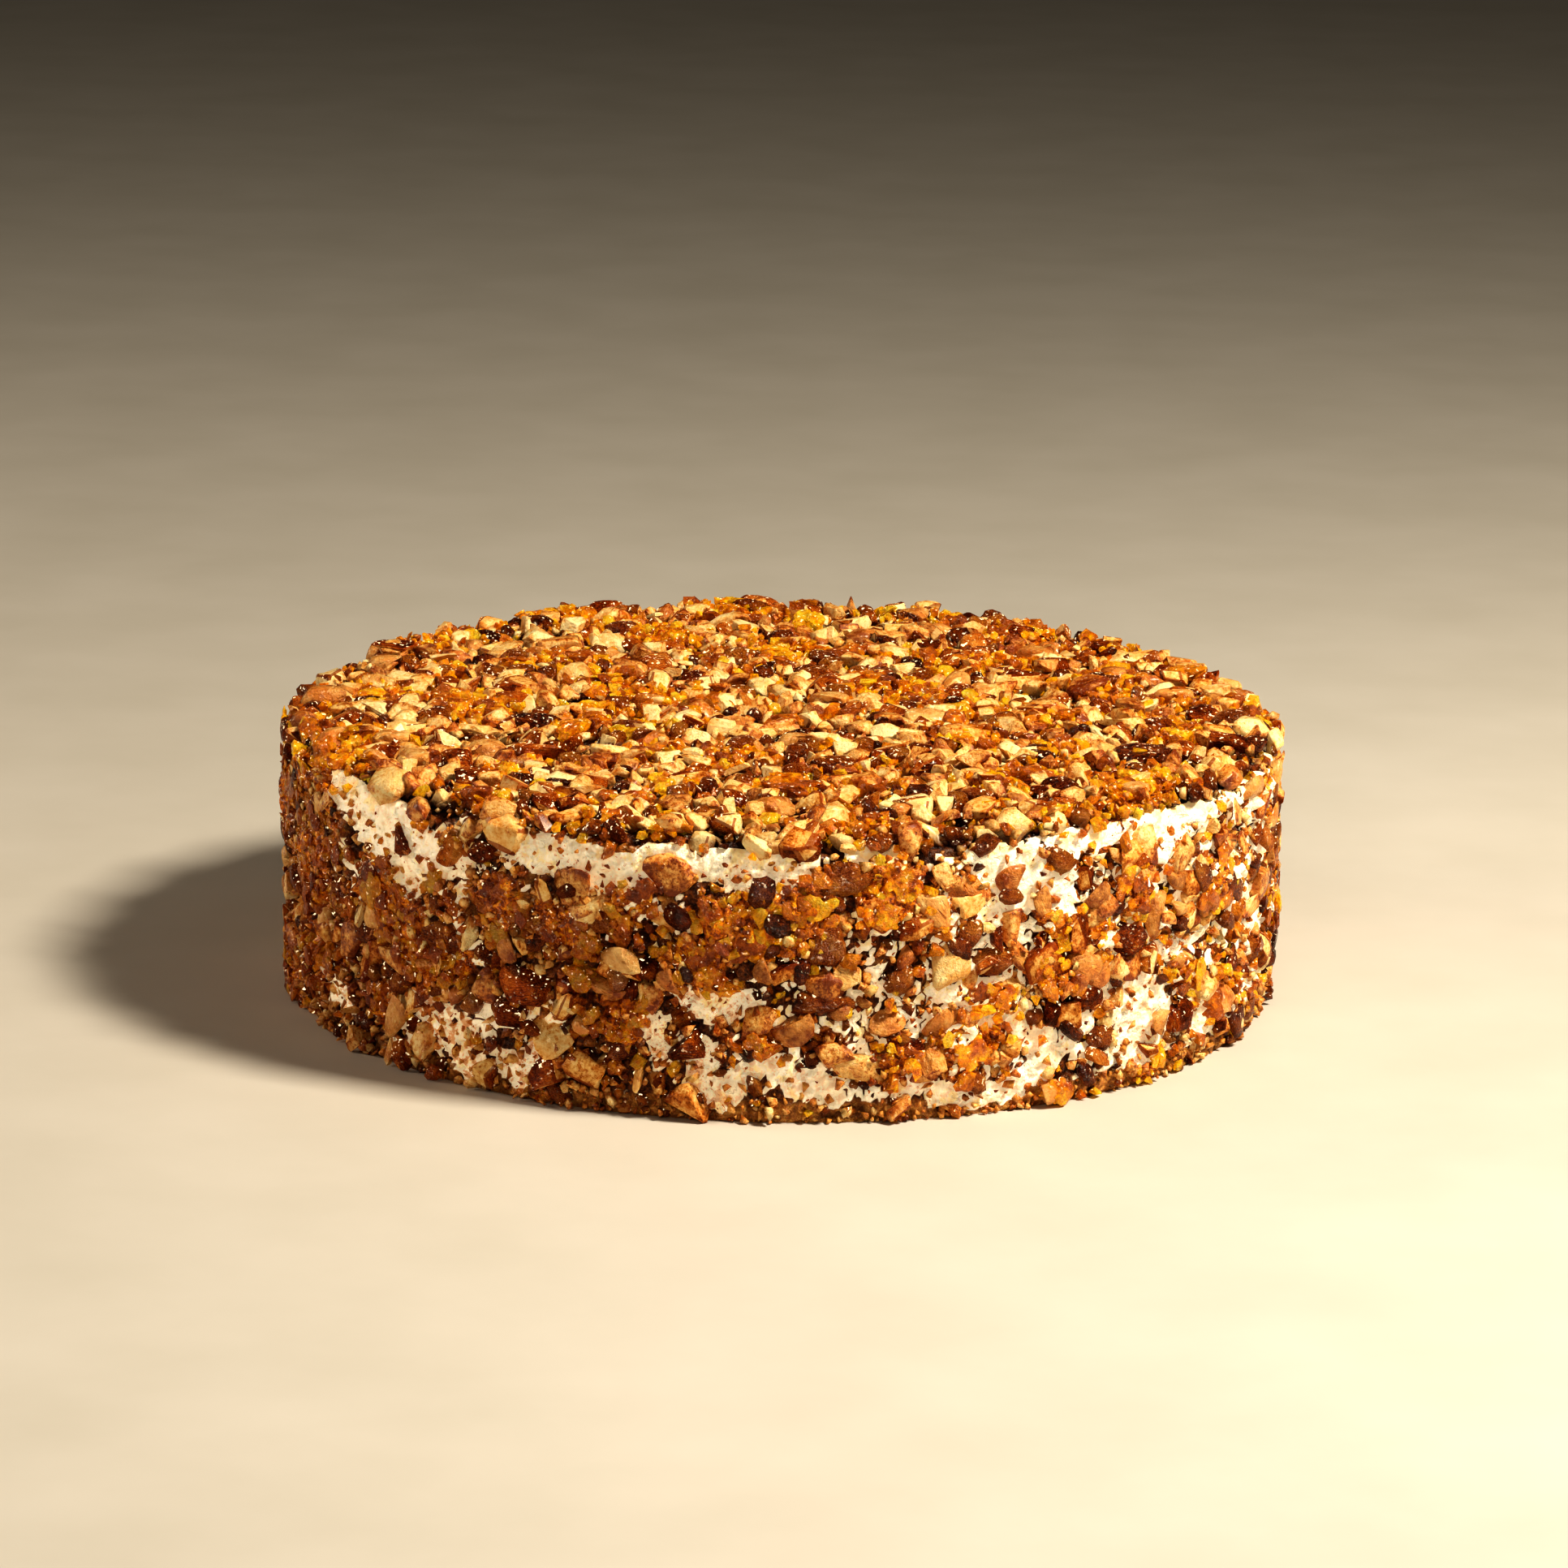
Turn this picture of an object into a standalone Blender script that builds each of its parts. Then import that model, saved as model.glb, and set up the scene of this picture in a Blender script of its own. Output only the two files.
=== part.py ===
"""A round cream cake, whole and uncut, coated on its top and side in chopped nuts and broken caramel.

Metres, +Z up. The origin is the middle of the flat base that the cake rests on, and -Y is its front.
The cake is one solid: a cream body with the largest nut pieces fused to it at their true size.
"""

import bisect
import math
import random

import bmesh
import bpy
from mathutils import Euler, Vector, noise

# Driving dimensions of the body: cream with its coat of fine crumb.
FOOT_RADIUS = 0.1180
RIM_FLARE = 0.0014  # the side stands out this much further at the rim than at the foot
BODY_HEIGHT = 0.0672
EDGE_RADIUS = 0.0065  # rounding between the side and the top
FLARE_START = 0.030  # height where the side starts to flare
FLARE_END = 0.050

# Relief of the body: lumps as large as the bedded pieces, and none where the cream lies bare.
LUMP_DEPTH = 0.0026
LUMP_SIZE = 0.0085
GRIT_DEPTH = 0.0006
CREAM_SINK = 0.0006  # bare cream lies this far behind the coat

# The coating.
NUT_COUNT = 296
NUT_LENGTH = (0.0078, 0.0138)
NUT_WIDTH = (0.62, 0.86)  # shares of the length
NUT_THICKNESS = (0.44, 0.62)
NUT_STAND = (0.05, 0.60)  # how far a piece's middle stands off the body, in half thicknesses
NUT_TILT = math.radians(32)
NUT_CORNERS = 9
NUT_CORNER_SWAY = 0.4  # how far a corner is turned about the piece, in radians
NUT_CORNER_REACH = (0.78, 1.0)  # how far out a corner lies, as a share of the ellipsoid's own reach
NUT_STRAY = 6.0  # how far a piece strays from the even spiral, in steps of the spiral
NUT_SWAY = 0.03  # how far it strays round the cake, in radians
NUT_LAST_SHARE = 0.99  # the last place down the side that a piece may stray to
NUT_LOWEST = 0.0065  # only fine crumb lies below this height
NUT_SEED = 4100
PLACED_SEED = 9100
REACH_RADIUS = 0.1245  # nothing stands out beyond this radius
REACH_HEIGHT = 0.0708
FLOOR_CLEARANCE = 0.0012  # the lowest nut pieces end this far above the base

# How finely the body is divided.
BODY_POINTS = 1060
FOOT_POINTS = 84
BODY_STRAY = 6.0  # how far a point strays from its even spiral, in steps of the spiral
BODY_SEED = 77
BODY_SHARE = 0.80  # share of the guide sphere's height that the top and the side take up
BODY_LAST_SHARE = 0.985  # the last place down the side that a point may stray to
GOLDEN_ANGLE = math.pi * (3 - math.sqrt(5))

# Where bare cream shows: angle from the front in degrees, height, half width and half height.
PATCH_MARGIN = 0.4  # share of a patch's half width over which the coat thins out
BARE_ENOUGH = 0.3  # no large piece is bedded where the cream is barer than this
CREAM_PATCHES = (
    (-50, 0.056, 0.019, 0.0080),
    (-26, 0.060, 0.018, 0.0050),
    (-3, 0.061, 0.020, 0.0045),
    (29, 0.059, 0.014, 0.0060),
    (41, 0.062, 0.010, 0.0050),
    (54, 0.061, 0.012, 0.0045),
    (47, 0.021, 0.013, 0.0100),
    (29, 0.013, 0.010, 0.0080),
    (-7, 0.027, 0.008, 0.0040),
    (-3, 0.011, 0.016, 0.0055),
    (14, 0.007, 0.015, 0.0030),
    (-40, 0.010, 0.011, 0.0085),
    (-62, 0.011, 0.010, 0.0050),
)

# Large pieces at the places where the photo shows them. On the side: angle from the front in degrees and
# height; on the top: x and y. Then length, width, thickness, and the turn from level in degrees.
SIDE_NUTS = (
    (-12, 0.059, 0.013, 0.009, 0.005, -30),
    (-29, 0.028, 0.013, 0.010, 0.007, 10),
    (-19, 0.031, 0.012, 0.007, 0.006, -30),
    (-10, 0.018, 0.009, 0.008, 0.006, 0),
    (5, 0.029, 0.015, 0.007, 0.006, 0),
    (14, 0.018, 0.011, 0.006, 0.005, 10),
    (7, 0.059, 0.014, 0.009, 0.006, 20),
    (11, 0.050, 0.011, 0.008, 0.006, -20),
    (17, 0.051, 0.012, 0.007, 0.006, -60),
    (12, 0.024, 0.009, 0.006, 0.005, 15),
    (19, 0.037, 0.013, 0.011, 0.006, 60),
    (26, 0.056, 0.008, 0.007, 0.005, 0),
    (31, 0.036, 0.014, 0.009, 0.006, 30),
    (47, 0.041, 0.012, 0.007, 0.005, 80),
    (52, 0.015, 0.010, 0.008, 0.007, 90),
    (39, 0.014, 0.008, 0.007, 0.006, 0),
    (44, 0.059, 0.010, 0.008, 0.005, 90),
    (52, 0.039, 0.009, 0.007, 0.005, 10),
    (9, 0.014, 0.015, 0.007, 0.005, -15),
    (-47, 0.056, 0.008, 0.006, 0.005, 90),
    (-65, 0.056, 0.011, 0.007, 0.005, 30),
    (-2, 0.043, 0.015, 0.009, 0.005, 0),
    (-28, 0.042, 0.010, 0.009, 0.006, 30),
    (-24, 0.028, 0.008, 0.007, 0.005, 90),
)
TOP_NUTS = (
    (0.003, -0.080, 0.014, 0.010, 0.007, 10),
    (0.012, -0.056, 0.011, 0.009, 0.007, 0),
    (0.034, -0.056, 0.010, 0.009, 0.007, 20),
    (0.065, -0.073, 0.011, 0.008, 0.006, 0),
    (0.086, -0.042, 0.018, 0.014, 0.007, 30),
    (0.046, -0.094, 0.010, 0.007, 0.006, 70),
    (-0.066, 0.002, 0.009, 0.007, 0.006, 0),
    (-0.060, -0.019, 0.015, 0.009, 0.006, 0),
    (-0.085, -0.014, 0.012, 0.009, 0.006, 20),
    (-0.070, -0.047, 0.010, 0.008, 0.006, 20),
    (-0.019, -0.056, 0.008, 0.007, 0.006, 40),
    (-0.025, -0.092, 0.009, 0.006, 0.005, 0),
    (0.018, -0.072, 0.015, 0.006, 0.005, 20),
    (0.025, -0.023, 0.009, 0.007, 0.005, 0),
    (0.106, 0.014, 0.010, 0.008, 0.006, 60),
    (-0.072, -0.073, 0.009, 0.008, 0.006, 0),
    (-0.101, -0.005, 0.008, 0.007, 0.006, 0),
    (-0.042, 0.082, 0.010, 0.008, 0.006, 0),
    (0.002, 0.070, 0.010, 0.007, 0.005, 0),
    (0.065, 0.004, 0.010, 0.007, 0.005, 10),
    (0.019, -0.037, 0.008, 0.007, 0.006, 0),
    (-0.037, -0.093, 0.014, 0.006, 0.004, 40),
    (-0.048, -0.095, 0.008, 0.007, 0.006, 0),
    (-0.032, -0.033, 0.010, 0.008, 0.005, 10),
    (0.048, 0.058, 0.009, 0.008, 0.006, 0),
)
PLACED_STAND = 0.5  # how far a placed piece's middle stands off the body, in half thicknesses
NUT_ROOM = 0.95  # a piece of the spiral nearer to a placed one than this share of both half lengths is left out

CREAM = (0.90, 0.86, 0.74, 1.0)
CREAM_ROUGHNESS = 0.55
TOASTED_NUT = (0.72, 0.45, 0.20, 1.0)
NUT_ROUGHNESS = 0.45


def clear_scene():
    for thing in list(bpy.data.objects):
        bpy.data.objects.remove(thing, do_unlink=True)


def smooth_step(value, start, end):
    share = min(max((value - start) / (end - start), 0.0), 1.0)
    return share * share * (3 - 2 * share)


def side_radius(height):
    return FOOT_RADIUS + RIM_FLARE * smooth_step(height, FLARE_START, FLARE_END)


def profile_points(top_steps=24, edge_steps=12, side_steps=30):
    """(radius, height) from the middle of the top, out over the edge and down to the foot."""
    rim = FOOT_RADIUS + RIM_FLARE
    flat = rim - EDGE_RADIUS
    shoulder = BODY_HEIGHT - EDGE_RADIUS
    points = [(flat * i / top_steps, BODY_HEIGHT) for i in range(top_steps)]
    for i in range(edge_steps):
        turn = math.pi / 2 * i / edge_steps
        points.append((flat + EDGE_RADIUS * math.sin(turn), shoulder + EDGE_RADIUS * math.cos(turn)))
    for i in range(side_steps + 1):
        height = shoulder * (1 - i / side_steps)
        points.append((side_radius(height), height))
    return points


PROFILE = profile_points()
AREA_SO_FAR = [0.0]
for (r0, z0), (r1, z1) in zip(PROFILE, PROFILE[1:]):
    AREA_SO_FAR.append(AREA_SO_FAR[-1] + (r0 + r1) * math.hypot(r1 - r0, z1 - z0))


def on_body(share, angle):
    """Point and outward normal at a share of the coated area, 0 in the middle of the top and 1 at the foot."""
    wanted = share * AREA_SO_FAR[-1]
    i = min(max(bisect.bisect_right(AREA_SO_FAR, wanted) - 1, 0), len(PROFILE) - 2)
    part = (wanted - AREA_SO_FAR[i]) / (AREA_SO_FAR[i + 1] - AREA_SO_FAR[i])
    (r0, z0), (r1, z1) = PROFILE[i], PROFILE[i + 1]
    # Area grows with the square of the radius on the top, so the share is taken between squares there.
    radius = math.sqrt(r0 * r0 + (r1 * r1 - r0 * r0) * part) if z0 == z1 else r0 + (r1 - r0) * part
    height = z0 + (z1 - z0) * part
    slope = Vector((z0 - z1, r1 - r0)).normalized()
    out = Vector((math.sin(angle), -math.cos(angle), 0))
    return out * radius + Vector((0, 0, height)), (out * slope.x + Vector((0, 0, slope.y))).normalized()


def bare_cream(point):
    """0 where nuts cover the body, rising to 1 in the middle of a bare patch. The back repeats the front."""
    angle = math.degrees(math.atan2(point.x, -point.y))
    most = 0.0
    for patch_angle, height, half_width, half_height in CREAM_PATCHES:
        for turned in (patch_angle, patch_angle + 180):
            away = (angle - turned + 180) % 360 - 180
            across = math.radians(away) * FOOT_RADIUS / half_width
            along = (point.z - height) / half_height
            most = max(most, 1 - math.hypot(across, along))
    return min(most / PATCH_MARGIN, 1.0)


def guide_direction(share, angle):
    """The guide sphere's point whose height falls evenly with the share, so that areas keep their size."""
    height = 1 - 2 * BODY_SHARE * share
    radius = math.sqrt(max(1 - height * height, 0.0))
    return Vector((radius * math.cos(angle), radius * math.sin(angle), height))


def body_places():
    """(share, angle, grit) of each point of the body: an even spiral, then a ring round the foot."""
    draw = random.Random(BODY_SEED)
    steps = BODY_POINTS + FOOT_POINTS / 2
    places = []
    for i in range(BODY_POINTS):
        share = (i + 0.5 + draw.uniform(-BODY_STRAY, BODY_STRAY)) / steps
        places.append((min(max(share, 0.0), BODY_LAST_SHARE), i * GOLDEN_ANGLE, draw.uniform(-1, 1)))
    places += [(1.0, 2 * math.pi * i / FOOT_POINTS, 0.0) for i in range(FOOT_POINTS)]
    return places


def body_surface(share, angle, grit):
    """A point of the finished body, with its lumps. The foot's ring stays level and true."""
    point, normal = on_body(share, angle)
    if share >= 1.0:
        return point
    bare = bare_cream(point)
    lump = noise.noise(point / LUMP_SIZE) * LUMP_DEPTH + grit * GRIT_DEPTH
    moved = point + normal * (lump * (1 - bare) - CREAM_SINK * bare)
    moved.z = max(moved.z, FLOOR_CLEARANCE)
    return moved


def make_body():
    """The cream body: the hull of an even set of points on a sphere, moved onto the cake."""
    places = body_places()
    shape = bmesh.new()
    for share, angle, grit in places:
        shape.verts.new(guide_direction(share, angle))
    shape.verts.index_update()
    bmesh.ops.convex_hull(shape, input=shape.verts)
    shape.verts.ensure_lookup_table()
    for vertex, place in zip(shape.verts, places):
        vertex.co = body_surface(*place)
    face_outward(shape)
    return finish_mesh("cake", shape)


def nut_corners(draw, length, width, thickness):
    """Corners of one chopped piece: points spread evenly over an ellipsoid, each knocked in by chance."""
    corners = []
    for i in range(NUT_CORNERS):
        height = 1 - 2 * (i + 0.5) / NUT_CORNERS
        radius = math.sqrt(1 - height * height)
        angle = i * GOLDEN_ANGLE + draw.uniform(-NUT_CORNER_SWAY, NUT_CORNER_SWAY)
        reach = draw.uniform(*NUT_CORNER_REACH)
        direction = Vector((radius * math.cos(angle), radius * math.sin(angle), height)) * reach
        corners.append(Vector((direction.x * length / 2, direction.y * width / 2, direction.z * thickness / 2)))
    return corners


def placed_on_body():
    """(point, normal, length, width, thickness, turn) of each placed piece."""
    pieces = []
    for degrees, height, *sizes in SIDE_NUTS:
        angle = math.radians(degrees)
        out = Vector((math.sin(angle), -math.cos(angle), 0))
        pieces.append((out * side_radius(height) + Vector((0, 0, height)), out, *sizes))
    for x, y, *sizes in TOP_NUTS:
        pieces.append((Vector((x, y, BODY_HEIGHT)), Vector((0, 0, 1)), *sizes))
    return pieces


def placed_nut(number, piece):
    """Corners of one placed piece."""
    draw = random.Random(PLACED_SEED + number)
    point, normal, length, width, thickness, turn = piece
    facing = normal.to_track_quat("Z", "Y").to_matrix() @ Euler((0, 0, math.radians(turn))).to_matrix()
    middle = point + normal * PLACED_STAND * thickness / 2
    return within_reach([middle + facing @ corner for corner in nut_corners(draw, length, width, thickness)])


def crowded(point, length, placed):
    """Whether a piece of the spiral would lie on a placed one."""
    return any((point - other[0]).length < NUT_ROOM * (length + other[2]) / 2 for other in placed)


def nut_in_place(index, placed):
    """Corners of one piece of the spiral, or None over bare cream, at the foot and under a placed piece."""
    draw = random.Random(NUT_SEED + index)
    share = (index + 0.5 + draw.uniform(-NUT_STRAY, NUT_STRAY)) / NUT_COUNT
    angle = index * GOLDEN_ANGLE + draw.uniform(-NUT_SWAY, NUT_SWAY)
    point, normal = on_body(min(max(share, 0.0), NUT_LAST_SHARE), angle)
    length = draw.uniform(*NUT_LENGTH)
    width = length * draw.uniform(*NUT_WIDTH)
    thickness = length * draw.uniform(*NUT_THICKNESS)
    stand = draw.uniform(*NUT_STAND) * thickness / 2
    lean = Euler((draw.uniform(-NUT_TILT, NUT_TILT), draw.uniform(-NUT_TILT, NUT_TILT), 0))
    spin = Euler((0, 0, draw.uniform(0, 2 * math.pi)))
    corners = nut_corners(draw, length, width, thickness)
    if bare_cream(point) > BARE_ENOUGH or point.z < NUT_LOWEST or crowded(point, length, placed):
        return None
    facing = normal.to_track_quat("Z", "Y").to_matrix() @ lean.to_matrix() @ spin.to_matrix()
    placed = [point + normal * stand + facing @ corner for corner in corners]
    return within_reach(placed)


def within_reach(corners):
    """The same piece, pushed back until it is inside the cake's outermost radius, top and foot."""
    too_low = max(FLOOR_CLEARANCE - min(c.z for c in corners), 0.0)
    too_high = max(max(c.z for c in corners) - REACH_HEIGHT, 0.0)
    middle = sum(corners, Vector()) / len(corners)
    inward = -Vector((middle.x, middle.y, 0)).normalized()
    too_far = max(max(math.hypot(c.x, c.y) for c in corners) - REACH_RADIUS, 0.0)
    shift = inward * too_far + Vector((0, 0, too_low - too_high))
    return [corner + shift for corner in corners]


def make_nut(name, corners, collection):
    shape = bmesh.new()
    for corner in corners:
        shape.verts.new(corner)
    bmesh.ops.convex_hull(shape, input=shape.verts)
    loose = [vertex for vertex in shape.verts if not vertex.link_faces]
    bmesh.ops.delete(shape, geom=loose, context="VERTS")
    face_outward(shape)
    nut = finish_mesh(name, shape)
    nut.data.materials.append(bpy.data.materials["toasted_nut"])
    bpy.context.scene.collection.objects.unlink(nut)
    collection.objects.link(nut)


def face_outward(shape):
    bmesh.ops.recalc_face_normals(shape, faces=shape.faces)
    if shape.calc_volume(signed=True) < 0:
        bmesh.ops.reverse_faces(shape, faces=shape.faces)


def finish_mesh(name, shape):
    mesh = bpy.data.meshes.new(name)
    shape.to_mesh(mesh)
    shape.free()
    thing = bpy.data.objects.new(name, mesh)
    bpy.context.scene.collection.objects.link(thing)
    return thing


def material(name, colour, roughness):
    made = bpy.data.materials.new(name)
    made.use_nodes = True
    surface = made.node_tree.nodes["Principled BSDF"]
    surface.inputs["Base Color"].default_value = colour
    surface.inputs["Roughness"].default_value = roughness
    surface.inputs["Metallic"].default_value = 0.0
    return made


def fuse(body, collection):
    """Joins the nut pieces to the body as one solid, then drops the loose pieces and any scrap."""
    union = body.modifiers.new("fuse nuts", "BOOLEAN")
    union.operation = "UNION"
    union.operand_type = "COLLECTION"
    union.collection = collection
    union.solver = "MANIFOLD"
    bpy.context.view_layer.update()
    fused = bpy.data.meshes.new_from_object(body.evaluated_get(bpy.context.evaluated_depsgraph_get()))
    body.modifiers.remove(union)
    body.data = fused
    for nut in list(collection.objects):
        bpy.data.objects.remove(nut, do_unlink=True)
    bpy.data.collections.remove(collection)


def keep_largest_piece(body):
    """Deletes every part of the mesh that isn't connected to its largest one."""
    shape = bmesh.new()
    shape.from_mesh(body.data)
    left = set(shape.verts)
    pieces = []
    while left:
        piece, edge = set(), [left.pop()]
        while edge:
            vertex = edge.pop()
            piece.add(vertex)
            near = {e.other_vert(vertex) for e in vertex.link_edges} & left
            left -= near
            edge.extend(near)
        pieces.append(piece)
    pieces.sort(key=len)
    for piece in pieces[:-1]:
        bmesh.ops.delete(shape, geom=list(piece), context="VERTS")
    shape.to_mesh(body.data)
    shape.free()


def main():
    clear_scene()
    cream = material("cream", CREAM, CREAM_ROUGHNESS)
    material("toasted_nut", TOASTED_NUT, NUT_ROUGHNESS)
    body = make_body()
    body.data.materials.append(cream)
    nuts = bpy.data.collections.new("nuts")
    bpy.context.scene.collection.children.link(nuts)
    placed = placed_on_body()
    for number, piece in enumerate(placed):
        make_nut(f"placed_nut_{number:02d}", placed_nut(number, piece), nuts)
    for index in range(NUT_COUNT):
        corners = nut_in_place(index, placed)
        if corners:
            make_nut(f"nut_{index:03d}", corners, nuts)
    fuse(body, nuts)
    keep_largest_piece(body)


main()
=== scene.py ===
# A round cream cake, whole and uncut, coated in chopped nuts and broken caramel.
# The cream body is grown first, with fields stored on it that say where cream lies bare and where
# caramel or fine crumb gathers. Every kind of piece is then scattered over that body by the same fields.
import bisect
import math
import random

import bmesh
import bpy
from mathutils import Euler, Matrix, Vector, noise


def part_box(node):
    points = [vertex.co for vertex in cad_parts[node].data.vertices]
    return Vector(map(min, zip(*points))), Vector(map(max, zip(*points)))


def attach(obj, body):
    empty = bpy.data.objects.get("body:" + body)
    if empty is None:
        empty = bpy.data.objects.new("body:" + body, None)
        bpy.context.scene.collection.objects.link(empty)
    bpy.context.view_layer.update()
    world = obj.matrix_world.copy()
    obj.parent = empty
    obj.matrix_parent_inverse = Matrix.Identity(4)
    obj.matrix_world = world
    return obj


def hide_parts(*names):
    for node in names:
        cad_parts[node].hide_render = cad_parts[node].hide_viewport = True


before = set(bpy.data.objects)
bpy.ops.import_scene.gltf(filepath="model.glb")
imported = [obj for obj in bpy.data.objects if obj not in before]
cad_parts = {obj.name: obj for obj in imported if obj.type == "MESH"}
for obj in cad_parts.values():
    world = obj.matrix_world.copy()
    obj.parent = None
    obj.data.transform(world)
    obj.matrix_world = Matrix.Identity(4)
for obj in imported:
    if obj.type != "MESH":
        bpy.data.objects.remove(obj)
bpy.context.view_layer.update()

cakeLow, cakeHigh = (Vector(corner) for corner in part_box("cake"))
goldenAngle = math.pi * (3 - math.sqrt(5))


def paint(red, green, blue):
    # a colour given as 0 to 255, as the linear colour that a shader takes
    def linear(value):
        share = value / 255
        return share / 12.92 if share <= 0.04045 else ((share + 0.055) / 1.055) ** 2.4
    return (linear(red), linear(green), linear(blue), 1.0)


def shades(*rows):
    # the stops of a ramp: each one's place and colour
    return tuple((place, paint(*colour)) for place, *colour in rows)


def pick(sockets, key):
    if isinstance(key, int):
        return sockets[key]
    return next(socket for socket in sockets if socket.name == key and socket.enabled)


class Wire:
    # one output socket, with the operators that node maths needs
    def __init__(self, web, socket):
        self.web = web
        self.socket = socket

    def beside(self, key):
        return Wire(self.web, pick(self.socket.node.outputs, key))

    def __add__(self, other):
        return self.web.maths("ADD", self, other)

    def __radd__(self, other):
        return self.web.maths("ADD", other, self)

    def __sub__(self, other):
        return self.web.maths("SUBTRACT", self, other)

    def __rsub__(self, other):
        return self.web.maths("SUBTRACT", other, self)

    def __mul__(self, other):
        return self.web.maths("MULTIPLY", self, other)

    def __rmul__(self, other):
        return self.web.maths("MULTIPLY", other, self)

    def __truediv__(self, other):
        return self.web.maths("DIVIDE", self, other)

    def __pow__(self, other):
        return self.web.maths("POWER", self, other)


class Web:
    # a node tree being built
    def __init__(self, tree):
        self.tree = tree
        self.entry = None
        self.given = {}

    def add(self, kind, settings=None, values=None, output=0):
        node = self.tree.nodes.new(kind)
        for name, setting in (settings or {}).items():
            if name == "stops":
                self.setStops(node.color_ramp, setting)
            else:
                setattr(node, name, setting)
        for key, value in (values or {}).items():
            self.feed(pick(node.inputs, key), value)
        return Wire(self, pick(node.outputs, output))

    def feed(self, socket, value):
        if isinstance(value, Wire):
            self.tree.links.new(value.socket, socket)
        else:
            socket.default_value = value

    def setStops(self, ramp, stops):
        while len(ramp.elements) < len(stops):
            ramp.elements.new(0.5)
        for element, (place, colour) in zip(ramp.elements, stops):
            element.position = place
            element.color = colour

    def maths(self, operation, *values):
        return self.add("ShaderNodeMath", {"operation": operation}, dict(enumerate(values)))

    def root(self, value):
        return self.maths("SQRT", value)

    def least(self, first, second):
        return self.maths("MINIMUM", first, second)

    def most(self, first, second):
        return self.maths("MAXIMUM", first, second)

    def ease(self, value, start, end, low=0.0, high=1.0):
        # from low to high as the value goes from start to end, with soft ends
        limits = {"Value": value, "From Min": start, "From Max": end, "To Min": low, "To Max": high}
        return self.add("ShaderNodeMapRange", {"interpolation_type": "SMOOTHSTEP"}, limits, "Result")

    def blend(self, share, first, second, way="MIX"):
        colours = {"Factor": share, "A": first, "B": second}
        return self.add("ShaderNodeMix", {"data_type": "RGBA", "blend_type": way}, colours, "Result")

    def vectors(self, operation, first, second):
        return self.add("ShaderNodeVectorMath", {"operation": operation}, {0: first, 1: second}, "Vector")

    def stretch(self, vector, amount):
        values = {"Vector": vector, "Scale": amount}
        return self.add("ShaderNodeVectorMath", {"operation": "SCALE"}, values, "Vector")

    def split(self, vector):
        parts = self.add("ShaderNodeSeparateXYZ", {}, {0: vector})
        return parts, parts.beside("Y"), parts.beside("Z")

    def join(self, x, y, z):
        return self.add("ShaderNodeCombineXYZ", {}, {0: x, 1: y, 2: z})

    def cloud(self, place, size, detail=2.0, roughness=0.5, distortion=0.0):
        # noise between 0 and 1 whose lumps are about this size, in metres
        values = {"Vector": place, "Scale": 1 / size, "Detail": detail, "Roughness": roughness,
                  "Distortion": distortion}
        return self.add("ShaderNodeTexNoise", {}, values, 0)

    def ridges(self, place, *shape):
        # the cloud folded over, so that its middle stands up as sharp ridges
        return 1 - self.maths("ABSOLUTE", self.cloud(place, *shape) * 2 - 1)

    def facingUp(self):
        return self.split(self.add("GeometryNodeInputNormal"))[2]

    def named(self, name, kind="FLOAT"):
        # a field that is stored on the points
        return self.add("GeometryNodeInputNamedAttribute", {"data_type": kind}, {"Name": name})

    def chance(self, seed, low=0.0, high=1.0):
        values = {"Min": low, "Max": high, "Seed": seed}
        return self.add("FunctionNodeRandomValue", {"data_type": "FLOAT"}, values, "Value")

    def compare(self, operation, first, second, kind="FLOAT"):
        settings = {"data_type": kind, "operation": operation}
        return self.add("FunctionNodeCompare", settings, {"A": first, "B": second})

    def both(self, first, second):
        return self.add("FunctionNodeBooleanMath", {"operation": "AND"}, {0: first, 1: second})

    def between(self, value, low, high):
        return self.both(self.compare("GREATER_EQUAL", value, low), self.compare("LESS_THAN", value, high))

    def shapeOf(self, thing):
        return self.add("GeometryNodeObjectInfo", {}, {"Object": thing}, "Geometry")

    def store(self, geometry, name, value, domain):
        values = {"Geometry": geometry, "Name": name, "Value": value}
        return self.add("GeometryNodeStoreNamedAttribute", {"data_type": "FLOAT", "domain": domain}, values)

    def move(self, geometry, how, vector):
        # to a new Position, or by an Offset
        return self.add("GeometryNodeSetPosition", {}, {"Geometry": geometry, how: vector})

    def gather(self, parts):
        together = self.add("GeometryNodeJoinGeometry")
        for part in parts:
            self.tree.links.new(part.socket, together.socket.node.inputs[0])
        return together

    def take(self, name, kind, value):
        # a named input of the tree
        socket = self.tree.interface.new_socket(name=name, in_out="INPUT", socket_type="NodeSocket" + kind)
        self.given[socket.identifier] = value
        if self.entry is None:
            self.entry = self.tree.nodes.new("NodeGroupInput")
        return Wire(self, self.entry.outputs[name])


def newTree(name):
    return Web(bpy.data.node_groups.new(name, "GeometryNodeTree"))


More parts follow.
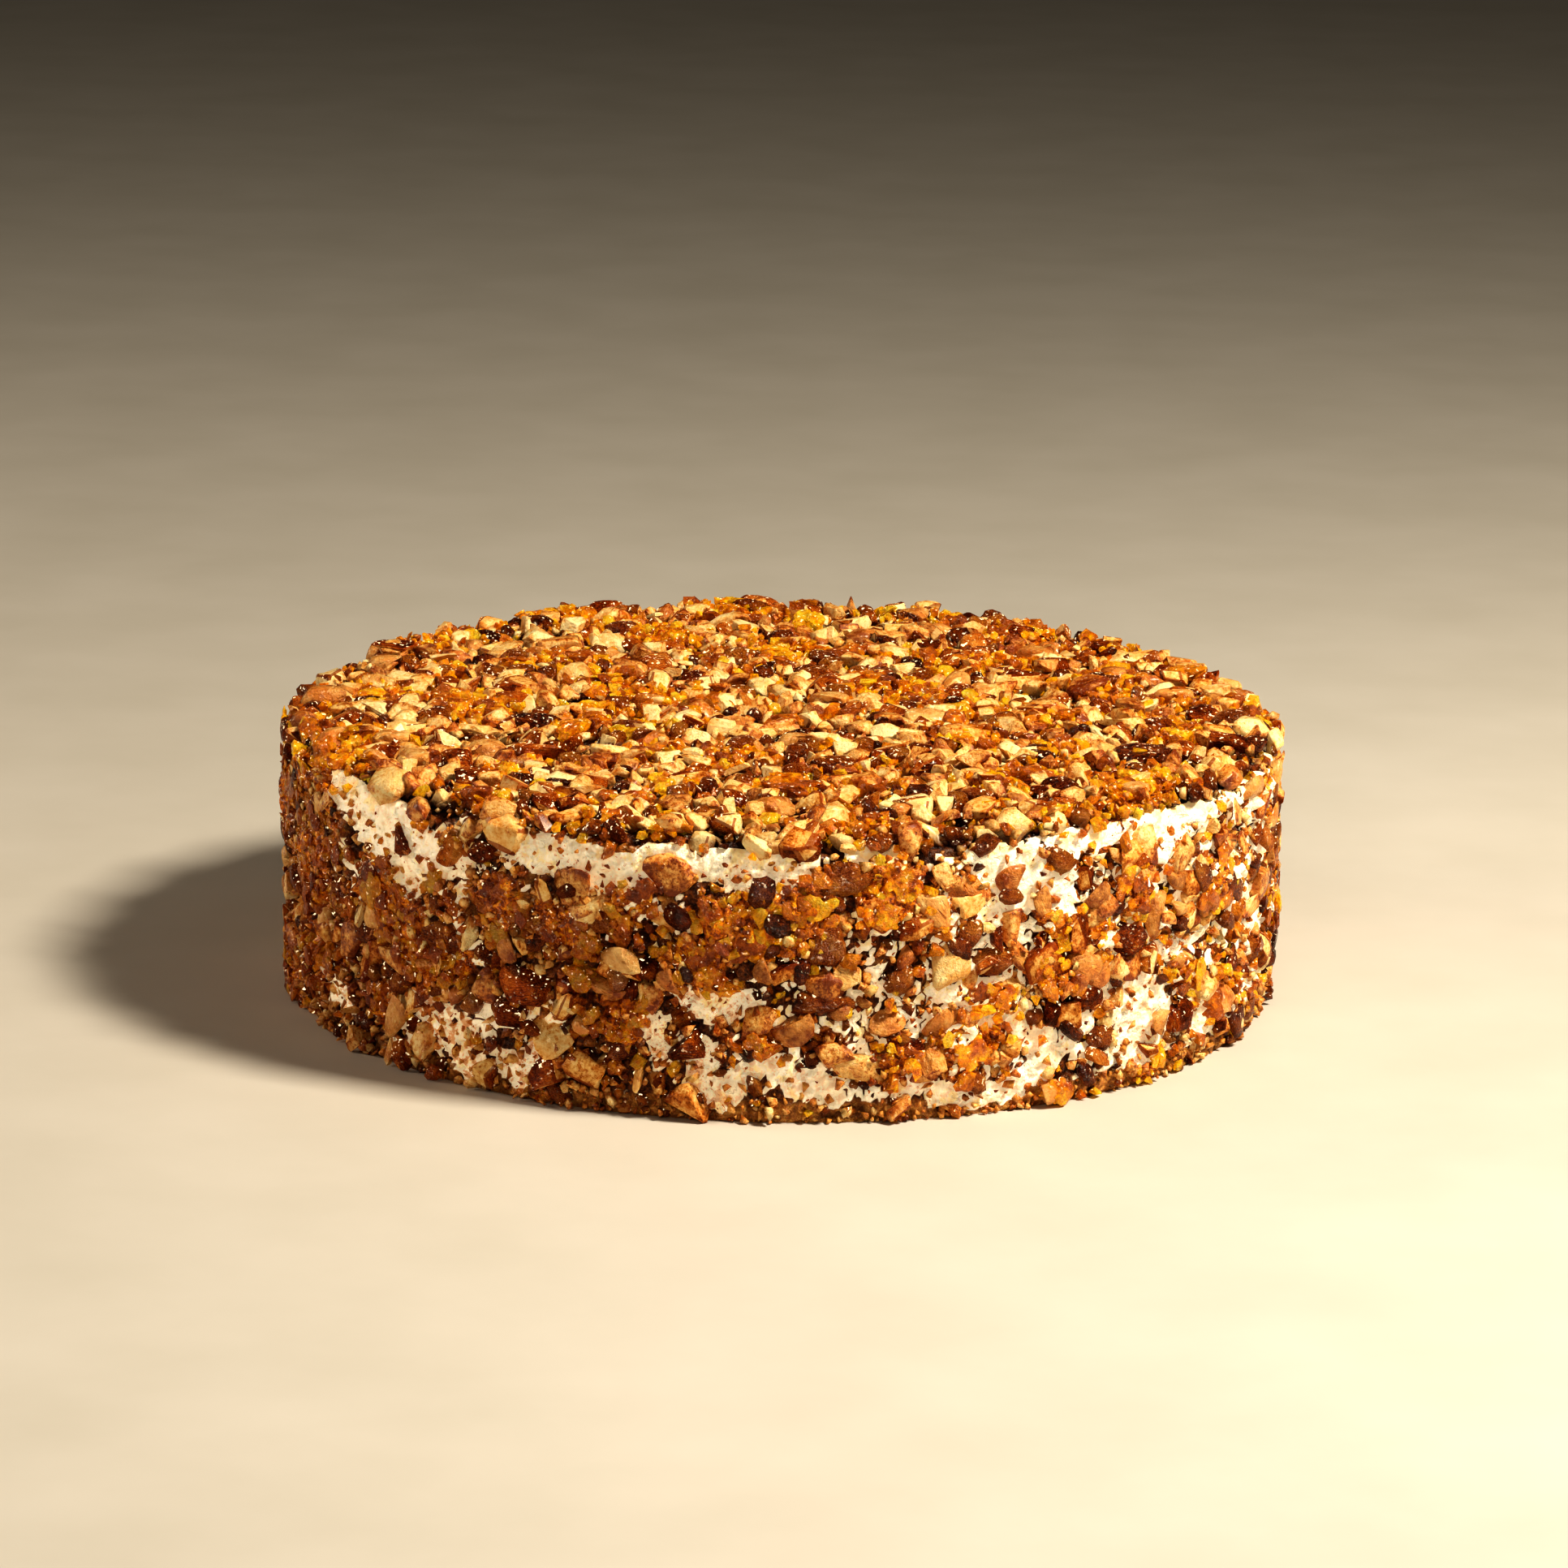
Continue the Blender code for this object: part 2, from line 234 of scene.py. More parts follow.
def growMesh(name, web, result, finish):
    # runs the tree and keeps its result as a plain mesh of one finish
    values = {"Geometry": result, "Material": web.take("Finish", "Material", finish)}
    painted = web.add("GeometryNodeSetMaterial", {}, values)
    web.tree.interface.new_socket(name="Mesh", in_out="OUTPUT", socket_type="NodeSocketGeometry")
    way = web.tree.nodes.new("NodeGroupOutput")
    web.tree.links.new(painted.socket, way.inputs[0])
    piece = bpy.data.objects.new(name, bpy.data.meshes.new(name))
    bpy.context.scene.collection.objects.link(piece)
    modifier = piece.modifiers.new(name, "NODES")
    modifier.node_group = web.tree
    for identifier, value in web.given.items():
        modifier[identifier] = value
    graph = bpy.context.evaluated_depsgraph_get()
    grown = piece.evaluated_get(graph)
    mesh = bpy.data.meshes.new_from_object(grown, preserve_all_data_layers=True, depsgraph=graph)
    piece.modifiers.remove(modifier)
    piece.data = mesh
    mesh.name = name
    # the tree leaves an empty slot before its own material
    mesh.materials.clear()
    mesh.materials.append(finish)
    mesh.polygons.foreach_set("material_index", [0] * len(mesh.polygons))
    return piece


def countTriangles(piece):
    piece.data.calc_loop_triangles()
    return len(piece.data.loop_triangles)


creamBody = {
    "footRadius": 0.1180,   # the coat's own surface, as the frame's solid has it
    "rimFlare": 0.0014,     # how much further out the side stands at the rim
    "flareFrom": 0.030,
    "flareTo": 0.050,
    "height": 0.0672,
    "edge": 0.0065,         # rounding between side and top
    "bedding": 0.0021,      # coated cream lies this far under the coat's surface
    "bareSink": 0.0014,     # the hollows of bare cream lie this far under it
    "pointsAcross": 172,
    "pointsUp": 60,
    "folds": 0.0036,        # cream drawn up between the bedded pieces
    "caramelRise": 0.0018,
    "caramelLumps": 0.0090,
    "swell": 0.0034,        # long soft waves of bare cream, with peaks on them
    "peaks": 0.0030,
    "grain": 0.0005,
    "bareGrain": 0.0011,
}

# Bare cream on the side, as strokes of (degrees from the front, height and half width in millimetres).
creamStrokes = (
    ((-61, 63, 3), (-55, 60, 5.5), (-50, 57, 7.5), (-45, 55, 7), (-41, 53, 5), (-38, 53, 3)),
    ((-47, 51, 3.5), (-44.7, 46, 2.2)),
    ((-33, 62.5, 2.5), (-29, 61, 4.5), (-24, 59, 5), (-20, 57.5, 4.5), (-15, 59, 3)),
    ((-14, 61, 3.5), (-9, 62, 4), (-5, 61.5, 4.5), (-1, 60, 4), (3, 62, 2.5)),
    ((8, 64, 1.8), (12, 64.5, 1.8)),
    ((24.5, 60, 4), (28, 57, 6.5), (31, 54, 5.5), (33, 50, 3)),
    ((32, 63, 2.5), (38, 64.5, 3.2)),
    ((43, 63, 3.5), (48, 63.5, 4.5), (54, 63.5, 4.2), (57, 61, 3)),
    ((43, 31, 2.5), (45, 27, 5), (46, 22, 6.5), (45, 15, 5.5), (44, 9, 4)),
    ((50, 14, 3.2), (55, 13, 3.6), (60, 14, 3)),
    ((47, 32, 1.8), (52, 31, 2), (58, 34, 2)),
    ((67, 24, 2), (69, 18, 2)),
    ((27, 22, 2.6), (30, 17, 3.2), (32, 13, 3), (29, 8, 2.6)),
    ((20, 26, 1.8), (24, 24, 2.2)),
    ((18, 6, 2.4), (23, 4.5, 2.6), (28, 5, 2.2)),
    ((14, 8, 2.6), (17, 10, 1.8)),
    ((-9.5, 28, 2.6), (-6, 27, 4), (-3, 29, 2.2)),
    ((-9, 16, 2.2), (-8, 10, 3.4), (-6, 6, 3.6), (-3, 12, 2.8), (-1, 15, 2.2)),
    ((0, 13, 3.2), (3, 10, 3.6), (6, 7, 3.2)),
    ((-46, 18, 2.6), (-42, 15, 4.5), (-38, 11, 5.2), (-37, 5, 3.6)),
    ((-33, 9, 2.6), (-30, 6, 3), (-28, 13, 2.2), (-26, 17, 1.8)),
    ((-29, 22.5, 1.8), (-25, 22, 2.2)),
    ((-14, 22, 1.8), (-13, 14, 2.2)),
    ((-66, 14, 2.4), (-60, 10, 3.2)),
    ((-38, 48, 1.4), (-35, 46, 1.4)),
    ((-41, 37, 1.6), (-38, 33, 1.6)),
)

# Where clear caramel gathers: (degrees, height, half width) on the side, (x, y, half width) on the top.
sideCaramel = (
    (-53, 57, 5), (-50, 46, 7), (-47, 36, 7), (-67, 41, 8), (1, 52, 7), (-5, 47, 6), (-32, 46, 6),
    (-9, 38, 5), (32, 48, 5), (38, 40, 4), (23, 24, 6), (43, 49, 4), (-17, 22, 5), (-24, 43, 5),
    (12, 55, 6), (21, 17, 6), (-51, 15, 4), (-39, 31, 5), (13, 16, 4), (32, 32, 4), (58, 45, 5),
    (80, 30, 8), (72, 60, 5), (-80, 50, 8), (64, 44, 4), (53, 25, 4), (66, 12, 4),
)
topCaramel = (
    (-93, 65, 9), (-30, 78, 9), (-17, 107, 8), (24, 26, 9), (39, 2, 10), (31, 14, 9), (-39, 14, 7),
    (-75, -6, 8), (-97, -1, 7), (-103, -36, 7), (-103, -60, 6), (-62, -66, 6), (-11, -49, 7), (53, 50, 8),
    (66, -37, 7), (83, -78, 7), (22, -111, 5), (45, -25, 8), (-23, 9, 7), (-60, 40, 8), (0, 60, 8),
    (80, 30, 8), (0, -75, 5), (-35, -90, 5), (50, -95, 5), (96, -20, 6), (60, 85, 8), (-60, 95, 7),
)


def bodyRadius(height):
    start, end = creamBody["flareFrom"], creamBody["flareTo"]
    share = min(max((height - start) / (end - start), 0), 1)
    return creamBody["footRadius"] + creamBody["rimFlare"] * share * share * (3 - 2 * share)


def onSide(degrees, height):
    turn = math.radians(degrees)
    radius = bodyRadius(height)
    edge = creamBody["edge"]
    rise = max(height - (creamBody["height"] - edge), 0)
    radius -= edge - math.sqrt(max(edge * edge - rise * rise, 0))
    return Vector((radius * math.sin(turn), -radius * math.cos(turn), height))


def spotCloud(name, strokes):
    # strokes as close points, each with its half width, for the trees to measure from
    step = 0.0012
    points, widths = [], []
    for stroke in strokes:
        for (start, wide), (end, narrow) in zip(stroke, stroke[1:] or stroke):
            count = max(int((end - start).length / step), 1)
            for i in range(count + 1):
                points.append(start.lerp(end, i / count))
                widths.append(wide + (narrow - wide) * i / count)
    mesh = bpy.data.meshes.new(name)
    mesh.from_pydata(points, [], [])
    mesh.attributes.new("halfWidth", "FLOAT", "POINT").data.foreach_set("value", widths)
    return bpy.data.objects.new(name, mesh)


def bothHalves(strokes):
    # the back, which the photo hides, repeats the front's strokes
    turned = Matrix.Rotation(math.pi, 4, "Z")
    return list(strokes) + [[(turned @ point, width) for point, width in stroke] for stroke in strokes]


def placeStrokes():
    cream = [[(onSide(degrees, high / 1000), wide / 1000) for degrees, high, wide in stroke]
             for stroke in creamStrokes]
    caramel = [[(onSide(degrees, high / 1000), wide / 1000)] for degrees, high, wide in sideCaramel]
    top = [[(Vector((x / 1000, y / 1000, creamBody["height"])), wide / 1000)] for x, y, wide in topCaramel]
    return spotCloud("bareStrokes", bothHalves(cream)), spotCloud("caramelSpots", bothHalves(caramel) + top)


def closeness(web, place, spots):
    # 1 in the middle of the nearest spot, 0 at its edge and less further out
    cloud = web.shapeOf(spots)
    sought = {"Geometry": cloud, "Sample Position": place}
    nearest = web.add("GeometryNodeSampleNearest", {"domain": "POINT"}, sought)
    asked = {"Geometry": cloud, "Value": web.named("halfWidth"), "Index": nearest}
    halfWidth = web.add("GeometryNodeSampleIndex", {"data_type": "FLOAT", "domain": "POINT"}, asked)
    target = {0: cloud, "Sample Position": place}
    away = web.add("GeometryNodeProximity", {"target_element": "POINTS"}, target, "Distance")
    return 1 - away / halfWidth


def roundBlock(web, foot, flare, height, edge):
    # a block whose square section becomes a disc and whose rim is rounded; its foot is open
    across, up = creamBody["pointsAcross"], creamBody["pointsUp"]
    values = {"Size": (2, 2, 2), "Vertices X": across, "Vertices Y": across, "Vertices Z": up}
    block = web.add("GeometryNodeMeshCube", {}, values, "Mesh")
    underside = web.compare("LESS_THAN", web.facingUp(), -0.5)
    cut = {"Geometry": block, "Selection": underside}
    opened = web.add("GeometryNodeDeleteGeometry", {"domain": "FACE"}, cut)
    x, y, level = web.split(web.add("GeometryNodeInputPosition"))
    discX = x * web.root(1 - y * y * 0.5)
    discY = y * web.root(1 - x * x * 0.5)
    outward = web.root(discX * discX + discY * discY)
    rise = (level + 1) * 0.5 * height
    fullRadius = foot + flare * web.ease(rise, creamBody["flareFrom"], creamBody["flareTo"])
    over = web.most(outward * fullRadius - (fullRadius - edge), 0.0)
    above = web.most(rise - (height - edge), 0.0)
    shrink = web.least(edge / web.root(over * over + above * above), 1.0)
    spread = (outward * fullRadius - over + over * shrink) / outward
    risen = rise - above + above * shrink
    return web.move(opened, "Position", web.join(discX * spread, discY * spread, risen))


def creamFields(web, place, strokes, spots):
    # where cream lies bare or peeps through, and where caramel or fine crumb gathers
    x, y, z = web.split(place)
    angle = web.maths("ARCTAN2", x, 0 - y) * (180 / math.pi)
    onTop = web.ease(web.facingUp(), 0.35, 0.8)
    wander = web.cloud(place, 0.0045, 3.0, 0.6) - 0.5
    bare = web.ease(closeness(web, place, strokes) + wander * 1.5, -0.22, 0.14) * (1 - onTop)
    drifts = web.ease(web.cloud(place, 0.024, 2.0, 0.6) + onTop * 0.04, 0.54, 0.66) * 0.75
    caramel = web.most(web.ease(closeness(web, place, spots) + wander * 1.6, -0.50, 0.05), drifts)
    leftSide = web.ease(angle, -48.0, -66.0) * (1 - web.ease(angle, -150.0, -120.0, 1.0, 0.0)) * (1 - onTop)
    foot = 1 - web.ease(z + wander * 0.004, 0.003, 0.0075)
    patchy = web.ease(web.cloud(place, 0.020, 2.0), 0.55, 0.68) * 0.6
    fine = web.most(web.most(leftSide * 0.75, foot), patchy)
    folds = web.ridges(place, 0.0070, 2.0, 0.55, 1.2) ** 3.0
    paler = web.ease(web.cloud(place, 0.030, 1.0), 0.35, 0.65, -0.10, 0.08)
    whiter = web.ease(angle, -5.0, 30.0, -0.08, 0.15) + paler
    peeping = web.ease(folds + wander * 0.25 + whiter - caramel * 0.2, 0.80, 0.90) * (1 - onTop)
    white = web.most(bare, peeping * web.ease(z, 0.004, 0.008))
    dusted = bare * web.ease(z, 0.052, 0.044, 0.3, 1.0) * web.ease(angle, -25.0, 10.0, 1.0, 0.4)
    fields = {"bare": bare, "white": white, "caramel": caramel, "fine": fine, "onTop": onTop, "foot": foot,
              "dusted": dusted}
    return folds, fields


def creamRelief(web, place, folds, fields, bedding, bareSink):
    speckle = web.cloud(place, 0.0016, 3.0, 0.6) - 0.5
    swell = web.cloud(place, 0.022, 1.0) - 0.5
    lumps = web.maths("ABSOLUTE", web.cloud(place, 0.0042, 2.0, 0.6) - 0.5) * creamBody["caramelLumps"]
    drawnUp = folds * creamBody["folds"] * (1 - fields["onTop"] * 0.8)
    hidden = (0 - bedding) + drawnUp + fields["caramel"] * (creamBody["caramelRise"] + lumps)
    peaks = web.ridges(place, 0.0054, 2.0, 0.55, 1.5) ** 2.0
    shown = (0 - bareSink) + swell * creamBody["swell"] + peaks * creamBody["peaks"]
    grained = speckle * (creamBody["grain"] + creamBody["bareGrain"] * fields["bare"])
    relief = hidden + (shown - hidden) * fields["bare"] + grained
    # the foot's edge stays on the table
    return relief * web.ease(web.split(place)[2], 0.0, 0.0016)


def closeFoot(web, shell):
    # one flat face, which the cake stands on
    rim = web.compare("EQUAL", web.add("GeometryNodeInputMeshEdgeNeighbors"), 1, "INT")
    ring = web.add("GeometryNodeMeshToCurve", {}, {"Mesh": shell, "Selection": rim})
    base = web.add("GeometryNodeFillCurve", {"mode": "NGONS"}, {"Curve": ring})
    flipped = web.add("GeometryNodeFlipFaces", {}, {"Mesh": base})
    together = web.gather([flipped, shell])
    closed = web.add("GeometryNodeMergeByDistance", {}, {"Geometry": together, "Distance": 0.00001})
    return web.add("GeometryNodeSetShadeSmooth", {}, {"Geometry": closed})


def growBody():
    web = newTree("creamBody")
    sizes = {"Foot radius": "footRadius", "Rim flare": "rimFlare", "Height": "height",
             "Edge rounding": "edge", "Bedding": "bedding", "Bare sink": "bareSink"}
    foot, flare, height, edge, bedding, bareSink = (
        web.take(label, "Float", creamBody[size]) for label, size in sizes.items())
    bareStrokes, caramelSpots = placeStrokes()
    strokes = web.take("Bare strokes", "Object", bareStrokes)
    spots = web.take("Caramel spots", "Object", caramelSpots)
    shell = roundBlock(web, foot, flare, height, edge)
    place = web.add("GeometryNodeInputPosition")
    folds, fields = creamFields(web, place, strokes, spots)
    relief = creamRelief(web, place, folds, fields, bedding, bareSink)
    for name, field in fields.items():
        shell = web.store(shell, name, field, "POINT")
    normal = web.add("GeometryNodeInputNormal")
    shell = web.move(shell, "Offset", web.stretch(normal, relief))
    return growMesh("creamBody", web, closeFoot(web, shell), creamFinish())


# Every shape fills a block that reaches 1 each way, so a piece's scale is half its length, width and
# thickness.


def anyDirection(draw):
    up = draw.uniform(-1, 1)
    turn = draw.uniform(0, 2 * math.pi)
    flat = math.sqrt(1 - up * up)
    return Vector((flat * math.cos(turn), flat * math.sin(turn), up))


def noiseSeed(draw):
    return Vector([draw.uniform(0, 50) for i in range(3)])


def skinAndRim(shape):
    # 1 on the faces that have kept their skin, and 1 where the skin breaks off
    return shape.faces.layers.float.new("skin"), shape.faces.layers.float.new("rim")


def fillBlock(shape):
    low = Vector([min(vertex.co[i] for vertex in shape.verts) for i in range(3)])
    high = Vector([max(vertex.co[i] for vertex in shape.verts) for i in range(3)])
    middle, half = (low + high) / 2, (high - low) / 2
    for vertex in shape.verts:
        vertex.co = Vector([(vertex.co[i] - middle[i]) / half[i] for i in range(3)])


def keepPlace(shape):
    # each point's own place on the shape, so that grain and grooves run with the piece
    own = shape.verts.layers.float_vector.new("own")
    for vertex in shape.verts:
        vertex[own] = vertex.co


def finishShape(name, shape, shelf):
    keepPlace(shape)
    bmesh.ops.recalc_face_normals(shape, faces=shape.faces)
    if shape.calc_volume(signed=True) < 0:
        bmesh.ops.reverse_faces(shape, faces=shape.faces)
    mesh = bpy.data.meshes.new(name)
    shape.to_mesh(mesh)
    shape.free()
    shelf.objects.link(bpy.data.objects.new(name, mesh))


def cutAway(shape, facing, depth):
    # one flat cut, closed by a face that has no skin
    whole = shape.verts[:] + shape.edges[:] + shape.faces[:]
    made = bmesh.ops.bisect_plane(shape, geom=whole, plane_co=facing * depth, plane_no=facing,
                                  clear_outer=True)
    opened = [part for part in made["geom_cut"] if isinstance(part, bmesh.types.BMEdge)]
    if opened:
        bmesh.ops.holes_fill(shape, edges=opened, sides=0)


def roundEdges(shape, skin, rim, width):
    # worn edges; those between skin and flesh are remembered as the skin's dark rim
    sharp = [edge for edge in shape.edges if edge.is_manifold and edge.calc_face_angle() > 0.5]
    made = bmesh.ops.bevel(shape, geom=sharp, offset=width, segments=1, profile=0.5, affect="EDGES",
                           clamp_overlap=True)
    for face in made["faces"]:
        face.smooth = True
        beside = [other[skin] for edge in face.edges for other in edge.link_faces if other is not face]
        face[rim] = 1.0 if beside and max(beside) > 0.5 > min(beside) else 0.0


def roughen(shape, draw, form):
    # broken faces are never quite flat
    bmesh.ops.triangulate(shape, faces=shape.faces)
    if form["finer"]:
        bmesh.ops.subdivide_edges(shape, edges=shape.edges, cuts=1, use_grid_fill=True)
        bmesh.ops.triangulate(shape, faces=shape.faces)
        for face in shape.faces:
            face.smooth = True
    shape.normal_update()
    seed = noiseSeed(draw)
    moves = []
    for vertex in shape.verts:
        height = noise.noise(vertex.co * 2.2 + seed) + 0.6 * noise.noise(vertex.co * 5.0 + seed)
        moves.append(vertex.normal * form["rough"] * height)
    for vertex, move in zip(shape.verts, moves):
        vertex.co += move


def choppedNut(draw, form):
    # a ball or a block chopped by flat cuts; what is left of a ball, or of a few sides of a block, has skin
    shape = bmesh.new()
    if form["start"] == "ball":
        bmesh.ops.create_icosphere(shape, subdivisions=form["detail"], radius=1)
    else:
        bmesh.ops.create_cube(shape, size=2)
        for vertex in shape.verts:
            vertex.co += anyDirection(draw) * draw.uniform(0.0, form["skew"])
        shape.normal_update()
    skin, rim = skinAndRim(shape)
    skinSide = anyDirection(draw)
    for face in shape.faces:
        covered = form["start"] == "ball" or face.normal.dot(skinSide) > form["skinFrom"]
        face[skin] = 1.0 if covered else 0.0
        face.smooth = form["start"] == "ball"
    if form["start"] == "ball":
        seed = noiseSeed(draw)
        for vertex in shape.verts:
            vertex.co *= 1 + form["dents"] * noise.noise(vertex.co * 1.4 + seed)
    for cut in range(draw.randint(*form["cuts"])):
        cutAway(shape, anyDirection(draw), draw.uniform(*form["depth"]))
    bmesh.ops.remove_doubles(shape, verts=shape.verts, dist=form["merge"])
    if form["worn"] > 0:
        roundEdges(shape, skin, rim, form["worn"])
    roughen(shape, draw, form)
    fillBlock(shape)
    return shape


def crustedNut(draw, form):
    # a nut under a lumpy sugar crust
    shape = bmesh.new()
    bmesh.ops.create_icosphere(shape, subdivisions=form["detail"], radius=1)
    seed = noiseSeed(draw)
    for cut in range(draw.randint(*form["cuts"])):
        facing, depth = anyDirection(draw), draw.uniform(*form["depth"])
        for vertex in shape.verts:
            over = vertex.co.dot(facing) - depth
            if over > 0:
                vertex.co -= facing * over * form["pressed"]
    for vertex in shape.verts:
        place = vertex.co + seed
        vertex.co *= 1 + sum(depth * noise.noise(place * pitch) for depth, pitch in form["lumps"])
    skin = skinAndRim(shape)[0]
    for face in shape.faces:
        face[skin] = 1.0
        face.smooth = True
    fillBlock(shape)
    return shape


def meltedLump(draw, form):
    # crystals melted together: the outside of several overlapping balls
    shape = bmesh.new()
    bmesh.ops.create_icosphere(shape, subdivisions=form["detail"], radius=1)
    balls = [(anyDirection(draw) * draw.uniform(*form["apart"]), draw.uniform(*form["ball"]))
             for i in range(form["balls"])]
    seed = noiseSeed(draw)
    for vertex in shape.verts:
        way = vertex.co.normalized()
        reach = form["core"]
        for middle, radius in balls:
            along = way.dot(middle)
            inside = radius * radius - middle.length_squared + along * along
            if inside > 0:
                reach = max(reach, along + math.sqrt(inside))
        vertex.co = way * reach * (1 + form["rough"] * noise.noise(way * 5 + seed))
    skinAndRim(shape)
    for face in shape.faces:
        face.smooth = form["soft"]
    fillBlock(shape)
    return shape


def grain(draw, form):
    # a broken crystal or crumb: the hull of a few points
    shape = bmesh.new()
    for i in range(form["corners"]):
        shape.verts.new(anyDirection(draw) * draw.uniform(*form["reach"]))
    bmesh.ops.convex_hull(shape, input=shape.verts)
    loose = [vertex for vertex in shape.verts if not vertex.link_faces]
    bmesh.ops.delete(shape, geom=loose, context="VERTS")
    fillBlock(shape)
    bmesh.ops.recalc_face_normals(shape, faces=shape.faces)
    skin = skinAndRim(shape)[0]
    skinSide = anyDirection(draw)
    for face in shape.faces:
        face[skin] = 1.0 if face.calc_center_median().dot(skinSide) > 1 - form["skinned"] * 2 else 0.0
        face.smooth = form["soft"]
    return shape


def makeShelf(name, form, seed):
    # a collection of differently broken shapes of one form
    shelf = bpy.data.collections.new(name)
    for i in range(form["count"]):
        draw = random.Random(seed * 1000 + i)
        finishShape(f"{name}{i:02d}", form["make"](draw, form), shelf)
    return shelf


bigKernel = {"make": choppedNut, "start": "ball", "count": 14, "detail": 3, "dents": 0.22, "cuts": (3, 5),
             "depth": (0.25, 0.65), "merge": 0.03, "worn": 0.06, "finer": False, "rough": 0.05}
bigChunk = {"make": choppedNut, "start": "block", "count": 18, "skew": 0.8, "skinFrom": 0.3, "cuts": (7, 10),
            "depth": (0.46, 0.88), "merge": 0.16, "worn": 0.13, "finer": True, "rough": 0.11}
smallKernel = {**bigKernel, "count": 16, "detail": 2, "merge": 0.08}
chunk = {**bigChunk, "count": 28, "cuts": (4, 6), "depth": (0.50, 0.95), "merge": 0.22, "worn": 0.15,
         "finer": False, "rough": 0.08}
halfKernel = {**bigKernel, "count": 10, "dents": 0.12, "cuts": (1, 1), "depth": (0.0, 0.3), "worn": 0.04}
smallHalf = {**halfKernel, "detail": 2}
crusted = {"make": crustedNut, "count": 12, "detail": 3, "cuts": (2, 4), "depth": (0.45, 0.8),
           "pressed": 0.85, "lumps": ((0.26, 1.3), (0.17, 3.2), (0.10, 7))}
smallCrusted = {**crusted, "detail": 2, "count": 16}
flake = {**chunk, "count": 14, "depth": (0.5, 1.05), "worn": 0.0, "rough": 0.05}
nutBit = {"make": grain, "count": 24, "corners": 11, "reach": (0.72, 1.0), "skinned": 0.35, "soft": True}
crustedBit = {**nutBit, "corners": 13, "reach": (0.55, 1.0), "skinned": 1.2}
crystal = {"make": grain, "count": 22, "corners": 14, "reach": (0.50, 1.0), "skinned": 0, "soft": False}
caramelLump = {"make": meltedLump, "count": 18, "detail": 3, "balls": 12, "apart": (0.35, 0.75),
               "ball": (0.28, 0.50), "core": 0.45, "rough": 0.25, "soft": False}
smallLump = {**caramelLump, "detail": 2, "balls": 7}
crumb = {"make": grain, "count": 16, "corners": 7, "reach": (0.8, 1.0), "skinned": 0, "soft": True}


largeNuts = {
    "count": 296,
    "length": (0.0078, 0.0138),
    "width": (0.62, 0.86),
    "thickness": (0.44, 0.62),
    "stand": (0.05, 0.60),
    "tilt": math.radians(32),
    "stray": 6.0,         # how many places along its even spiral a piece may stray
    "sway": 0.03,         # and how far round, in radians
    "lastShare": 0.99,
    "lowest": 0.0065,
    "clearOfBare": 0.12,  # a piece this far inside a bare patch, as a share of its size, is left out
    "room": 0.95,         # so is one nearer to a placed piece than this share of both half lengths
    "placedStand": 0.5,
    "seed": 4100,
}
# Large pieces at the places where the photo shows them, in millimetres. On the side: kind, degrees from the
# front, height, length, width, thickness and turn; on the top: x and y in place of degrees and height.
sideNuts = (
    ("pale", -12, 59, 13, 9, 5, -30), ("skinKernel", -29, 28, 13, 10, 7, 10),
    ("peanut", -19, 31, 12, 7, 6, -30), ("skinKernel", -10, 18, 9, 8, 6, 0),
    ("candied", 5, 29, 15, 7, 6, 0), ("skinKernel", 14, 18, 11, 6, 5, 10),
    ("candied", 7, 59, 14, 9, 6, 20), ("skinChunk", 11, 50, 11, 8, 6, -20),
    ("peanut", 17, 51, 12, 7, 6, -60), ("peanut", 12, 24, 9, 6, 5, 15),
    ("pale", 19, 37, 13, 11, 6, 60), ("peanut", 26, 56, 8, 7, 5, 0),
    ("skinChunk", 31, 36, 14, 9, 6, 30), ("peanut", 47, 41, 12, 7, 5, 80),
    ("skinKernel", 52, 15, 10, 8, 7, 90), ("candied", 39, 14, 8, 7, 6, 0),
    ("pale", 44, 59, 10, 8, 5, 90), ("skinChunk", 52, 39, 9, 7, 5, 10),
    ("pale", 9, 14, 15, 7, 5, -15), ("skinKernel", -47, 56, 8, 6, 5, 90),
    ("peanut", -65, 56, 11, 7, 5, 30), ("clear", -2, 43, 15, 9, 5, 0),
    ("candied", -28, 42, 10, 9, 6, 30), ("skinChunk", -24, 28, 8, 7, 5, 90),
)
topNuts = (
    ("browned", 3, -80, 14, 10, 7, 10), ("candied", 12, -56, 11, 9, 7, 0),
    ("skinChunk", 34, -56, 10, 9, 7, 20), ("candied", 65, -73, 11, 8, 6, 0),
    ("candied", 86, -42, 18, 14, 7, 30), ("skinChunk", 46, -94, 10, 7, 6, 70),
    ("skinKernel", -66, 2, 9, 7, 6, 0), ("candied", -60, -19, 15, 9, 6, 0),
    ("candied", -85, -14, 12, 9, 6, 20), ("peanut", -70, -47, 10, 8, 6, 20),
    ("pale", -19, -56, 8, 7, 6, 40), ("pale", -25, -92, 9, 6, 5, 0),
    ("pale", 18, -72, 15, 6, 5, 20), ("pale", 25, -23, 9, 7, 5, 0),
    ("peanut", 106, 14, 10, 8, 6, 60), ("skinKernel", -72, -73, 9, 8, 6, 0),
    ("skinKernel", -101, -5, 8, 7, 6, 0), ("candied", -42, 82, 10, 8, 6, 0),
    ("pale", 2, 70, 10, 7, 5, 0), ("skinChunk", 65, 4, 10, 7, 5, 10),
    ("candied", 19, -37, 8, 7, 6, 0), ("pale", -37, -93, 14, 6, 4, 40),
    ("skinChunk", -48, -95, 8, 7, 6, 0), ("peanut", -32, -33, 10, 8, 5, 10),
    ("skinKernel", 48, 58, 9, 8, 6, 0),
)
